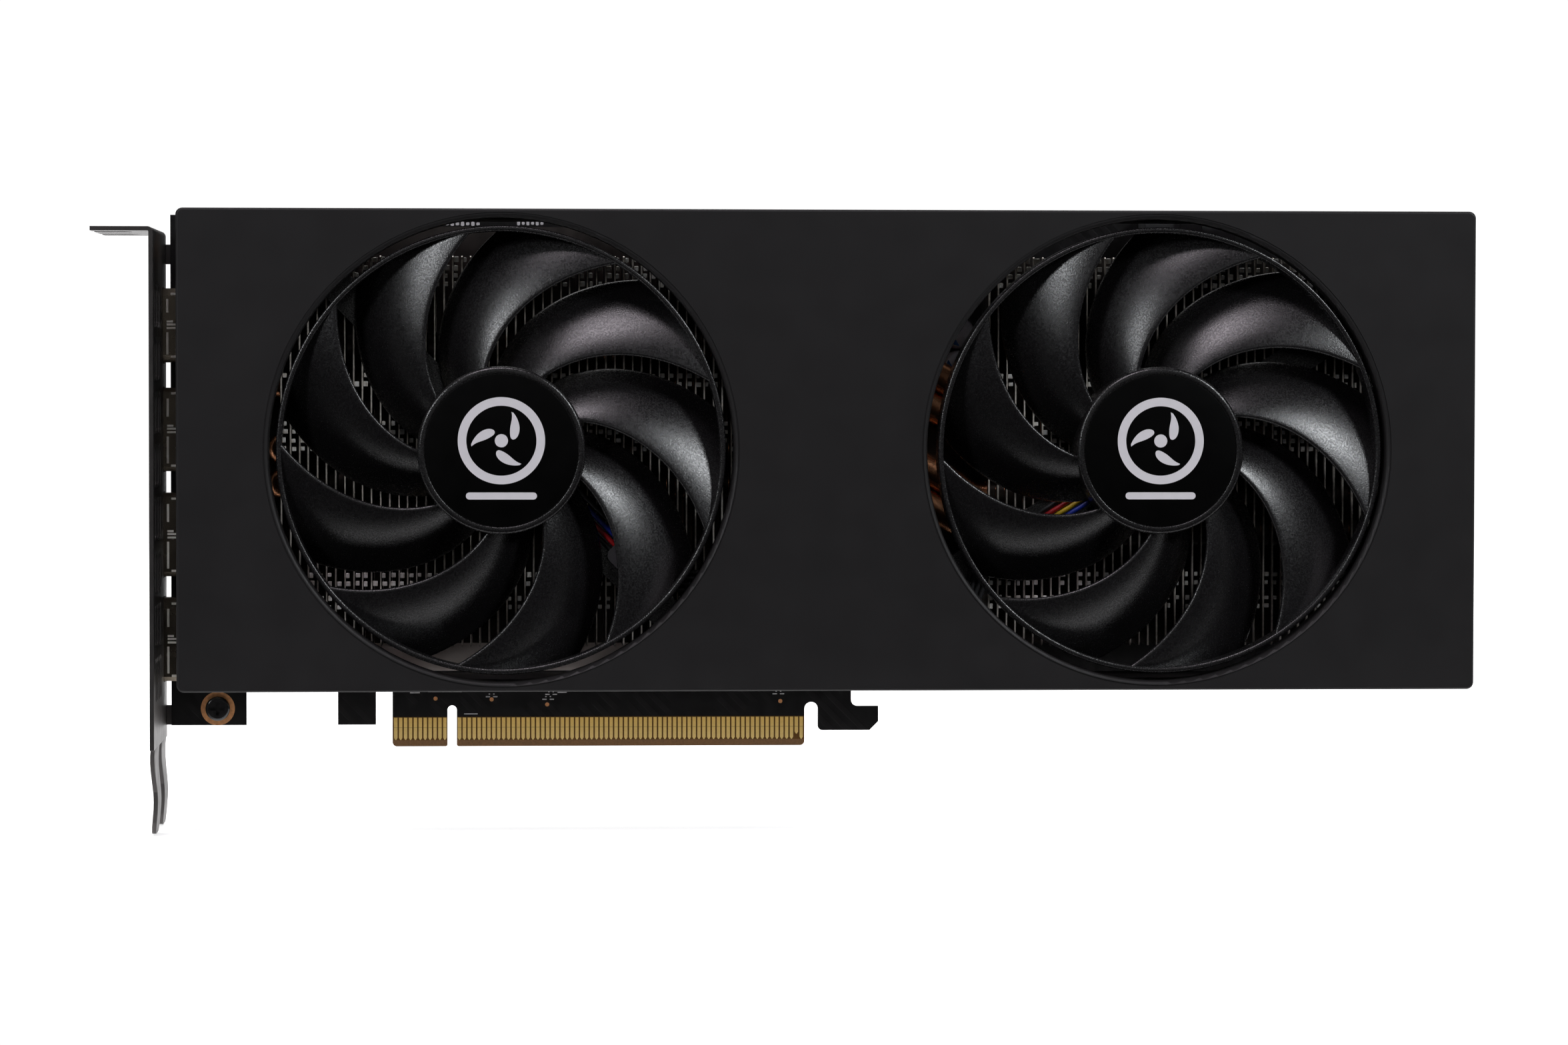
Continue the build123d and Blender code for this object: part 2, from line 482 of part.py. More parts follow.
socket_z0 = SHROUD_TOP - 0.3 - SOCKET_L
PIN_PITCH = 4.2
housing = block(SOCKET_X - SOCKET_W / 2, SOCKET_X + SOCKET_W / 2, 0.6, 0.6 + SOCKET_D, socket_z0, socket_z0 + SOCKET_L)
pins = []
for column in range(4):
    for row in range(2):
        x = SOCKET_X + (column - 1.5) * PIN_PITCH
        h = 0.6 + SOCKET_D / 2 + (row - 0.5) * PIN_PITCH
        housing -= block(x - 1.75, x + 1.75, h - 1.75, h + 1.75, socket_z0 + 2, socket_z0 + SOCKET_L + 1)
        pins.append(block(x - 0.5, x + 0.5, h - 0.5, h + 0.5, socket_z0 + 2, socket_z0 + SOCKET_L - 3))
latch = block(SOCKET_X - 2.2, SOCKET_X + 2.2, 0.6 + SOCKET_D, 0.6 + SOCKET_D + 1.6,
              socket_z0 + SOCKET_L - 4, socket_z0 + SOCKET_L)
parts["power_socket"] = housing + latch
parts["power_pins"] = group(pins)


# --- Fan leads: four wires each, beside a strut, then down to a header in the gap ---

HEADERS = {"left": (95.6, 28.0), "right": (103.0, 28.0)}
WIRE_R = 0.5
WIRE_H = 22.75
PLUG_FRONT_H = 6.0
BEND_R = 5.0
# Step from one wire to the next, across every run of its lead.
WIRE_STEP = {"left": (0.66, 1.15), "right": (-0.9, 0.8)}


def beside_strut(side, angle, along, aside):
    """A point on a fan, so far along a strut from the fan's axis and so far to its left."""
    c, s = cos(radians(angle)), sin(radians(angle))
    return (FAN_X[side] + along * c - aside * s, -WIRE_H, FAN_Z + along * s + aside * c)


def lead_route(side):
    """Corner points down the middle of a lead, from its motor board to its plug."""
    plug_x, plug_z = HEADERS[side]
    if side == "left":
        route = [beside_strut(side, 315, 12.6, 3.2), beside_strut(side, 315, 40.0, 3.2), (68.0, -WIRE_H, 33.6)]
    else:
        route = [beside_strut(side, 212, 12.6, 0.4), beside_strut(side, 212, 40.0, 0.4)]
    return route + [(plug_x, -WIRE_H, plug_z), (plug_x, -PLUG_FRONT_H, plug_z)]


for side in FAN_X:
    wires = []
    for number in range(4):
        shift_x, shift_z = (step * (number - 1.5) for step in WIRE_STEP[side])
        points = [(x + shift_x, y, z + shift_z) for x, y, z in lead_route(side)]
        path = FilletPolyline(*points, radius=BEND_R)
        start = Plane(origin=path @ 0, z_dir=path % 0)
        wires.append(sweep(start * Circle(WIRE_R), path=path))
        section = pi * WIRE_R ** 2
        print(f"lead {side} wire {number}: length {path.length:.1f}, bends {BEND_R}, "
              f"volume {wires[-1].volume:.2f} against {section * path.length:.2f}")
    parts[f"fan_lead_{side}"] = group(wires)
parts["fan_headers"] = group(block(x - 3.0, x + 3.0, 0, 3.0, z - 5.2, z + 5.2) for x, z in HEADERS.values())
parts["fan_plugs"] = group(block(x - 2.6, x + 2.6, 3.0, PLUG_FRONT_H, z - 4.8, z + 4.8) for x, z in HEADERS.values())


# --- Fan frames and motors ---

def at_polar(side, r, angle):
    return FAN_X[side] + r * cos(radians(angle)), FAN_Z + r * sin(radians(angle))


for side, fan_x in FAN_X.items():
    frame = post(fan_x, FAN_Z, FRAME_HUB_R, FRAME_BACK_H, FRAME_FRONT_H)
    frame += post(fan_x, FAN_Z, TUBE_R, FRAME_FRONT_H, BEARING_TOP_H)
    for angle in STRUT_ANGLES[side]:
        strut = block(10.0, FRAME_EAR_R, FRAME_BACK_H, FRAME_FRONT_H, -STRUT_W / 2, STRUT_W / 2)
        strut += post(FRAME_EAR_R, 0, FRAME_EAR_W, FRAME_BACK_H, FRAME_FRONT_H)
        strut -= post(FRAME_EAR_R, 0, 1.2, FRAME_BACK_H - 1, FRAME_FRONT_H + 1)
        frame += Pos(fan_x, 0, FAN_Z) * Rot(0, -angle, 0) * strut
    frame -= post(fan_x, FAN_Z, SLEEVE_R + 0.02, FRAME_BACK_H + 0.6, BEARING_TOP_H + 1)
    parts[f"fan_frame_{side}"] = frame
    motor_board_front_h = FRAME_FRONT_H + MOTOR_BOARD_T
    parts[f"motor_board_{side}"] = tube(fan_x, FAN_Z, MOTOR_BOARD_R, TUBE_R + 0.1, FRAME_FRONT_H, motor_board_front_h)
    parts[f"bearing_{side}"] = tube(fan_x, FAN_Z, SLEEVE_R, SHAFT_R + RUNNING_GAP, FRAME_BACK_H + 1.6, BEARING_TOP_H)

    core = tube(fan_x, FAN_Z, 7.2, TUBE_R + 0.05, CORE_BACK_H, CORE_FRONT_H)
    coils = []
    for pole in range(POLES):
        turn = Pos(fan_x, 0, FAN_Z) * Rot(0, -360 / POLES * pole, 0)
        arm = block(7.0, 12.0, CORE_BACK_H, CORE_FRONT_H, -ARM_W / 2, ARM_W / 2)
        shoe = tube(0, 0, SHOE_R, SHOE_R - 1.1, CORE_BACK_H, CORE_FRONT_H)
        shoe &= block(8.0, 14.0, CORE_BACK_H, CORE_FRONT_H, -4.6, 4.6)
        core += turn * (arm + shoe)
        winding = block(7.9, 11.2, CORE_BACK_H - COIL_T, CORE_FRONT_H + COIL_T, -2.7, 2.7)
        winding -= block(7.0, 12.0, CORE_BACK_H - 0.05, CORE_FRONT_H + 0.05, -ARM_W / 2 - 0.05, ARM_W / 2 + 0.05)
        coils.append(turn * fillet(winding.edges().filter_by(Axis.X).group_by(
            lambda e: abs(e.center().Z) > 2.0)[-1], 0.7))
    parts[f"stator_core_{side}"] = core
    parts[f"stator_coils_{side}"] = group(coils)
fan_screws = []
for side in FAN_X:
    for angle in STRUT_ANGLES[side]:
        x, z = at_polar(side, FRAME_EAR_R, angle)
        fan_screws.append(screw(x, z, 2.2, 0.9, 0.95, FRAME_BACK_H, 28.0))
parts["fan_screws"] = group(fan_screws)


# --- Rotors ---

def blade_point(r, part, turn):
    """A point on the blade's middle surface: part runs from 0 at the leading edge to 1 at the trailing."""
    angle = LEAD_ROOT_ANGLE + LEAD_SWEEP_PER_MM * (r - LEAD_ROOT_R) + BLADE_SPAN * part + turn
    lead_h = LEAD_ROOT_H + (LEAD_TIP_H - LEAD_ROOT_H) * (r - LEAD_ROOT_R) / (RING_R - LEAD_ROOT_R)
    # flat near the leading edge, steeper towards the trailing edge
    h = lead_h - (lead_h - TRAIL_H) * (0.35 * part + 0.65 * part ** 2)
    return Vector(r * cos(radians(angle)), -h, r * sin(radians(angle)))


def blade(turn):
    """One blade between the hub wall and the ring, thickened to the back."""
    inner_r, outer_r = HUB_R - 0.7, RING_R - RING_WALL / 2
    steps_r, steps_c = 7, 6
    rows = []
    for i in range(steps_r):
        r = inner_r + (outer_r - inner_r) * i / (steps_r - 1)
        rows.append([blade_point(r, j / (steps_c - 1), turn) for j in range(steps_c)])
    return thicken(Face.make_surface_from_array_of_points(rows), BLADE_T / 2, both=True)


for side, fan_x in FAN_X.items():
    cup = post(0, 0, HUB_R, HUB_BACK_H, HUB_FRONT_H)
    cup = fillet(cup.faces().sort_by(Axis.Y)[0].edges(), HUB_RIM_FILLET)
    cup -= post(0, 0, LABEL_R + LABEL_GAP, HUB_FRONT_H - LABEL_T, HUB_FRONT_H + 1)
    cup_floor_h = HUB_FRONT_H - HUB_FACE_T
    shaft_top_h = HUB_FRONT_H - 0.8
    cup -= post(0, 0, HUB_R - HUB_WALL, HUB_BACK_H - 1, cup_floor_h)
    cup += post(0, 0, BOSS_IN_HUB_R, cup_floor_h - BOSS_IN_HUB_L, cup_floor_h)
    cup -= post(0, 0, SHAFT_R, cup_floor_h - BOSS_IN_HUB_L - 1, shaft_top_h)
    ring = tube(0, 0, RING_R, RING_R - RING_WALL, RING_BACK_H, RING_FRONT_H)
    impeller = cup + ring
    for number in range(BLADES):
        impeller += blade(360 / BLADES * number)
    place = Pos(fan_x, 0, FAN_Z) * Rot(0, -FAN_TURN[side], 0)
    parts[f"impeller_{side}"] = place * impeller
    parts[f"hub_label_{side}"] = post(fan_x, FAN_Z, LABEL_R, HUB_FRONT_H - LABEL_T, HUB_FRONT_H)
    yoke_r = HUB_R - HUB_WALL
    yoke = post(fan_x, FAN_Z, yoke_r - 0.02, HUB_BACK_H + 0.4, cup_floor_h)
    yoke -= post(fan_x, FAN_Z, yoke_r - YOKE_T, HUB_BACK_H - 1, cup_floor_h - 0.6)
    yoke -= post(fan_x, FAN_Z, BOSS_IN_HUB_R + 0.05, cup_floor_h - 2, cup_floor_h + 1)
    parts[f"yoke_{side}"] = yoke
    parts[f"magnet_{side}"] = tube(fan_x, FAN_Z, yoke_r - YOKE_T, MAGNET_IN_R, HUB_BACK_H + 0.6, cup_floor_h - 0.8)
    parts[f"shaft_{side}"] = post(fan_x, FAN_Z, SHAFT_R, FRAME_BACK_H + 1.8, shaft_top_h)


os.makedirs("parts", exist_ok=True)
for name, solid in parts.items():
    solid.label = name
    export_step(solid, f"parts/{name}.step")
print(len(parts), "nodes")
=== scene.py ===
import math
import random

import bmesh
import bpy
from mathutils import Matrix, Vector
from mathutils.geometry import tessellate_polygon


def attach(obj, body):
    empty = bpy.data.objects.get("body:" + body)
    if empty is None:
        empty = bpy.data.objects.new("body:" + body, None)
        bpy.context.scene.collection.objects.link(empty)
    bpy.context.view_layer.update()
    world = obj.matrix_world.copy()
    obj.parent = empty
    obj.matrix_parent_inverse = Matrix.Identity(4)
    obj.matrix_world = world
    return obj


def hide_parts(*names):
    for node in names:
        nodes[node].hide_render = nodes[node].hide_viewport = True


# The graphics card as photographed: dark satin shroud, two grained black fans over
# aluminium fins, copper heat pipes and a gold edge connector. Places are written in
# millimetres as (x, height in front of the board, z) and turned into metres here.

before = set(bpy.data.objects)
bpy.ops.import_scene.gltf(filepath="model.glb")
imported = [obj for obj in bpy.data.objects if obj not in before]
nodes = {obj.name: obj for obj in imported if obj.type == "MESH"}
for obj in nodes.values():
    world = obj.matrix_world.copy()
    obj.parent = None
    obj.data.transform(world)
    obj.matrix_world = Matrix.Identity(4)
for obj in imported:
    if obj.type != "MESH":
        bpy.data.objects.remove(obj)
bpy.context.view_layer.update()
MM = 0.001
NEARLY_STRAIGHT = 1.56
random.seed(11)


# --- Shapes ---

def point(x, h, z):
    return Vector((x * MM, -h * MM, z * MM))


def mesh_object(name, vertices, faces, smooth_under=35):
    """A closed mesh whose edges stay crisp where faces meet at more than smooth_under degrees."""
    mesh = bpy.data.meshes.new(name)
    mesh.from_pydata([tuple(v) for v in vertices], [], faces)
    work = bmesh.new()
    work.from_mesh(mesh)
    bmesh.ops.remove_doubles(work, verts=work.verts, dist=1e-7)
    bmesh.ops.recalc_face_normals(work, faces=work.faces)
    for face in work.faces:
        face.smooth = True
    for edge in work.edges:
        shared = len(edge.link_faces) == 2
        edge.smooth = shared and edge.calc_face_angle(0) < math.radians(smooth_under)
    work.to_mesh(mesh)
    work.free()
    made = bpy.data.objects.new(name, mesh)
    bpy.context.scene.collection.objects.link(made)
    return made


def rounded(points, radius, steps=6, closed=False):
    """A run of corner points with every corner turned into an arc."""
    points = [Vector(p) for p in points]
    last = len(points) - 1
    out = []
    for i, corner in enumerate(points):
        if not closed and i in (0, last):
            out.append(corner)
            continue
        to_previous = (points[i - 1] - corner).normalized()
        to_next = (points[(i + 1) % len(points)] - corner).normalized()
        half = to_previous.angle(to_next) / 2
        bend = radius[i] if isinstance(radius, (list, tuple)) else radius
        if bend == 0 or half > NEARLY_STRAIGHT:
            out.append(corner)
            continue
        centre = corner + (to_previous + to_next).normalized() * (bend / math.sin(half))
        start = corner + to_previous * (bend / math.tan(half)) - centre
        end = corner + to_next * (bend / math.tan(half)) - centre
        sweep = math.pi - 2 * half
        for k in range(steps + 1):
            turned = sweep * k / steps
            swung = start * math.sin(sweep - turned) + end * math.sin(turned)
            out.append(centre + swung / math.sin(sweep))
    return out


def outline_2d(corners, radius, steps=6):
    """A closed outline in a plane, with rounded corners, as pairs."""
    return [(p.x, p.y) for p in rounded([(a, b, 0) for a, b in corners], radius, steps, closed=True)]


def lathe_data(profile, x, z, steps=96):
    """A closed outline of (radius, height) pairs turned about an axis along Y."""
    vertices, faces = [], []
    count = len(profile)
    for i in range(steps):
        turn = 2 * math.pi * i / steps
        vertices += [point(x + r * math.cos(turn), h, z + r * math.sin(turn)) for r, h in profile]
        j = (i + 1) % steps
        for k in range(count):
            m = (k + 1) % count
            faces.append((i * count + k, i * count + m, j * count + m, j * count + k))
    return vertices, faces


def loft_data(rings):
    """Closed rings of equal length joined into one solid with both ends capped."""
    count = len(rings[0])
    vertices = [v for ring in rings for v in ring]
    faces = []
    for i in range(len(rings) - 1):
        for k in range(count):
            m = (k + 1) % count
            faces.append((i * count + k, i * count + m, (i + 1) * count + m, (i + 1) * count + k))
    faces.append(tuple(range(count)))
    faces.append(tuple(range((len(rings) - 1) * count, len(rings) * count)))
    return vertices, faces


def tube_data(path, radii, sides=20):
    """A round bar along a path, with a radius for each point of the path."""
    rings = []
    side = None
    for i, here in enumerate(path):
        ahead = path[min(i + 1, len(path) - 1)] - path[max(i - 1, 0)]
        ahead.normalize()
        if side is None:
            side = ahead.orthogonal().normalized()
        side = (side - ahead * side.dot(ahead)).normalized()
        up = ahead.cross(side)
        turns = [2 * math.pi * k / sides for k in range(sides)]
        rings.append([here + (side * math.cos(t) + up * math.sin(t)) * radii[i] for t in turns])
    return loft_data(rings)


def box_data(x0, x1, h0, h1, z0, z1):
    vertices = [point(x, h, z) for x in (x0, x1) for h in (h0, h1) for z in (z0, z1)]
    faces = [(0, 1, 3, 2), (4, 6, 7, 5), (0, 4, 5, 1), (2, 3, 7, 6), (0, 2, 6, 4), (1, 5, 7, 3)]
    return vertices, faces


def plate_data(outline, place, thickness, holes=()):
    """A flat sheet with holes. place(a, b, t) puts an outline point in space, t through the sheet."""
    loops = [list(outline)] + [list(hole) for hole in holes]
    flat = [p for loop in loops for p in loop]
    triangles = tessellate_polygon([[Vector((a, b, 0)) for a, b in loop] for loop in loops])
    count = len(flat)
    vertices = [place(a, b, 0) for a, b in flat] + [place(a, b, thickness) for a, b in flat]
    faces = [tuple(t) for t in triangles] + [tuple(i + count for i in reversed(t)) for t in triangles]
    start = 0
    for loop in loops:
        for k in range(len(loop)):
            m = (k + 1) % len(loop)
            faces.append((start + k, start + m, start + m + count, start + k + count))
        start += len(loop)
    return vertices, faces


def joined(pieces):
    """Several (vertices, faces) sets as one."""
    vertices, faces = [], []
    for some_vertices, some_faces in pieces:
        shift = len(vertices)
        vertices += some_vertices
        faces += [tuple(i + shift for i in face) for face in some_faces]
    return vertices, faces


def bevel(made, width_mm, angle=40):
    """Rounds the crisp edges of a piece."""
    cut = made.modifiers.new("Bevel", "BEVEL")
    cut.width = width_mm * MM
    cut.segments = 2
    cut.limit_method = "ANGLE"
    cut.angle_limit = math.radians(angle)
    cut.harden_normals = True
    return made


def rectangle(a0, a1, b0, b1):
    return [(a0, b0), (a1, b0), (a1, b1), (a0, b1)]


def facing_front(base_h, x=0, z=0):
    """The place function of a plate parallel to the board."""
    return lambda a, b, t: point(x + a, base_h + t, z + b)


def circle(x, z, r, steps=24):
    return [(x + r * math.cos(2 * math.pi * i / steps), z + r * math.sin(2 * math.pi * i / steps))
            for i in range(steps)]


# --- Surfaces ---

class Surface:
    """A node material: colour clouds, worn roughness and fine relief, all in object coordinates."""

    def __init__(self, name, colour, rough, metallic=0.0, specular=0.5):
        self.material = bpy.data.materials.new(name)
        self.material.use_nodes = True
        self.nodes = self.material.node_tree.nodes
        self.links = self.material.node_tree.links
        self.shader = self.nodes["Principled BSDF"]
        self.colour = (*colour, 1.0)
        self.rough = rough
        self.coordinates = self.nodes.new("ShaderNodeTexCoord").outputs["Object"]
        self.shader.inputs["Base Color"].default_value = self.colour
        self.shader.inputs["Roughness"].default_value = rough
        self.shader.inputs["Metallic"].default_value = metallic
        self.shader.inputs["Specular IOR Level"].default_value = specular

    def stretched(self, factors):
        """Object coordinates stretched along the axes, for brushed or drawn metal."""
        mapping = self.nodes.new("ShaderNodeMapping")
        mapping.inputs["Scale"].default_value = factors
        self.links.new(self.coordinates, mapping.inputs["Vector"])
        return mapping.outputs["Vector"]

    def noise(self, size_mm, detail=3.0, vector=None):
        """Noise whose blotches are about size_mm across."""
        noise = self.nodes.new("ShaderNodeTexNoise")
        noise.inputs["Scale"].default_value = 1.0 / (size_mm * MM)
        noise.inputs["Detail"].default_value = detail
        self.links.new(vector or self.coordinates, noise.inputs["Vector"])
        return noise.outputs["Fac"]

    def spread(self, value, low, high, start=0.3, end=0.7):
        """Maps start..end of a value onto low..high."""
        spread = self.nodes.new("ShaderNodeMapRange")
        spread.inputs["From Min"].default_value = start
        spread.inputs["From Max"].default_value = end
        spread.inputs["To Min"].default_value = low
        spread.inputs["To Max"].default_value = high
        self.links.new(value, spread.inputs["Value"])
        return spread.outputs["Result"]

    def blend(self, factor, first, second):
        """Mixes two colours, each a colour or a socket."""
        mix = self.nodes.new("ShaderNodeMix")
        mix.data_type = "RGBA"
        self.links.new(factor, mix.inputs["Factor"])
        for socket, value in ((mix.inputs[6], first), (mix.inputs[7], second)):
            if isinstance(value, tuple):
                socket.default_value = value
            else:
                self.links.new(value, socket)
        return mix.outputs[2]

    def compute(self, operation, first, second):
        """One step of arithmetic on values or sockets."""
        step = self.nodes.new("ShaderNodeMath")
        step.operation = operation
        for socket, value in zip(step.inputs, (first, second)):
            if isinstance(value, (int, float)):
                socket.default_value = value
            else:
                self.links.new(value, socket)
        return step.outputs["Value"]

    def axes(self):
        """X, Y and Z of the point being shaded, in metres."""
        separate = self.nodes.new("ShaderNodeSeparateXYZ")
        self.links.new(self.coordinates, separate.inputs["Vector"])
        return separate.outputs["X"], separate.outputs["Y"], separate.outputs["Z"]

    def mottle(self, size_mm, first, second, detail=3.0):
        """Blotches of two colours."""
        return self.blend(self.spread(self.noise(size_mm, detail), 0, 1), first, second)

    def clouds(self, size_mm, amount, vector=None):
        """Lets the colour drift lighter and darker by a share."""
        low = tuple(c * (1 - amount) for c in self.colour[:3]) + (1.0,)
        high = tuple(min(1.0, c * (1 + amount)) for c in self.colour[:3]) + (1.0,)
        mixed = self.blend(self.spread(self.noise(size_mm, 4.0, vector), 0, 1), low, high)
        self.links.new(mixed, self.shader.inputs["Base Color"])
        return self

    def wear(self, size_mm, amount, vector=None):
        """Lets the roughness drift."""
        smoothest = max(0.02, self.rough - amount)
        value = self.spread(self.noise(size_mm, 5.0, vector), smoothest, self.rough + amount)
        self.links.new(value, self.shader.inputs["Roughness"])
        return self

    def relief(self, size_mm, depth_mm, strength=1.0, detail=2.0, vector=None, height=None):
        """Fine bumps, or the relief of a height that was worked out already."""
        bump = self.nodes.new("ShaderNodeBump")
        bump.inputs["Strength"].default_value = strength
        bump.inputs["Distance"].default_value = depth_mm * MM
        self.links.new(height or self.noise(size_mm, detail, vector), bump.inputs["Height"])
        self.links.new(bump.outputs["Normal"], self.shader.inputs["Normal"])
        return self


def fin_surface():
    """Bright along the cut front edges, darkened by painted shade further in."""
    stamped = Surface("fin", (0.56, 0.525, 0.485), 0.45, metallic=0.7)
    _, y, _ = stamped.axes()
    depth = stamped.spread(y, 0, 1, -18.9 * MM, -17.6 * MM)
    fresh = stamped.mottle(0.9, (0.62, 0.56, 0.50, 1.0), (1.0, 0.94, 0.86, 1.0))
    # the dark copy of the aluminium deeper in is painted shade for the dim inside of the stack
    painted_shade = stamped.mottle(2.0, (0.035, 0.028, 0.024, 1.0), (0.060, 0.048, 0.042, 1.0))
    stamped.links.new(stamped.blend(depth, fresh, painted_shade), stamped.shader.inputs["Base Color"])
    stamped.wear(0.6, 0.10).relief(0.7, 0.012, 0.5, vector=stamped.stretched((1, 1, 0.3)))
    return stamped


def plate_surface():
    """Bare aluminium, darker along the top."""
    plate = Surface("plate_aluminium", (0.72, 0.64, 0.60), 0.50, metallic=0.7)
    _, _, z = plate.axes()
    darker_top = plate.spread(z, 0, 1, 90 * MM, 92 * MM)
    bare = plate.mottle(4, (0.78, 0.69, 0.65, 1.0), (0.86, 0.77, 0.73, 1.0))
    dark = plate.mottle(4, (0.030, 0.026, 0.024, 1.0), (0.040, 0.034, 0.031, 1.0))
    plate.links.new(plate.blend(darker_top, bare, dark), plate.shader.inputs["Base Color"])
    plate.wear(2, 0.08).relief(0.5, 0.01, 0.4, vector=plate.stretched((0.1, 1, 1)))
    return plate


def gold_surface():
    """Gold, a little deeper in colour towards the board, with the worn line of one insertion."""
    gold = Surface("gold", (0.74, 0.52, 0.19), 0.44, metallic=0.5)
    _, _, z = gold.axes()
    towards_tip = gold.spread(z, 1, 0, 1.3 * MM, 5.9 * MM)
    base = gold.blend(towards_tip, (0.98, 0.66, 0.18, 1.0), (0.96, 0.72, 0.28, 1.0))
    from_line = gold.compute("ABSOLUTE", gold.compute("SUBTRACT", z, 3.9 * MM), 0)
    line = gold.compute("LESS_THAN", from_line, 0.07 * MM)
    mottled = gold.blend(gold.spread(gold.noise(0.5, 4), 0, 0.35), base, (0.82, 0.54, 0.15, 1.0))
    worn = gold.blend(gold.compute("MULTIPLY", line, 0.45), mottled, (0.34, 0.24, 0.08, 1.0))
    gold.links.new(worn, gold.shader.inputs["Base Color"])
    gold.wear(0.4, 0.08).relief(0.3, 0.004, 0.4)
    return gold


def board_surface():
    """Black mask over faint tracks, and bare laminate round the contacts."""
    board = Surface("board", (0.0040, 0.0036, 0.0038), 0.36, specular=0.3)
    x, _, z = board.axes()
    tracks = board.nodes.new("ShaderNodeTexWave")
    tracks.wave_type = "BANDS"
    tracks.bands_direction = "DIAGONAL"
    tracks.inputs["Scale"].default_value = 190.0
    tracks.inputs["Distortion"].default_value = 0.0
    board.links.new(board.coordinates, tracks.inputs["Vector"])
    raised = board.compute("MULTIPLY", board.spread(tracks.outputs["Fac"], 0, 1, 0.45, 0.6),
                           board.spread(board.noise(9, 1), 0, 1, 0.48, 0.52))
    mask = board.blend(raised, (0.0034, 0.0031, 0.0033, 1.0), (0.0056, 0.0050, 0.0053, 1.0))
    between = board.compute("MULTIPLY", board.compute("GREATER_THAN", x, -12.6 * MM),
                            board.compute("LESS_THAN", x, 73.2 * MM))
    bare = board.compute("MULTIPLY", between, board.compute("LESS_THAN", z, 6.05 * MM))
    weave = board.mottle(0.35, (0.108, 0.045, 0.006, 1.0), (0.155, 0.068, 0.012, 1.0))
    board.links.new(board.blend(bare, mask, weave), board.shader.inputs["Base Color"])
    board.wear(2, 0.06).relief(0, 0.02, 0.6, height=raised)
    return board


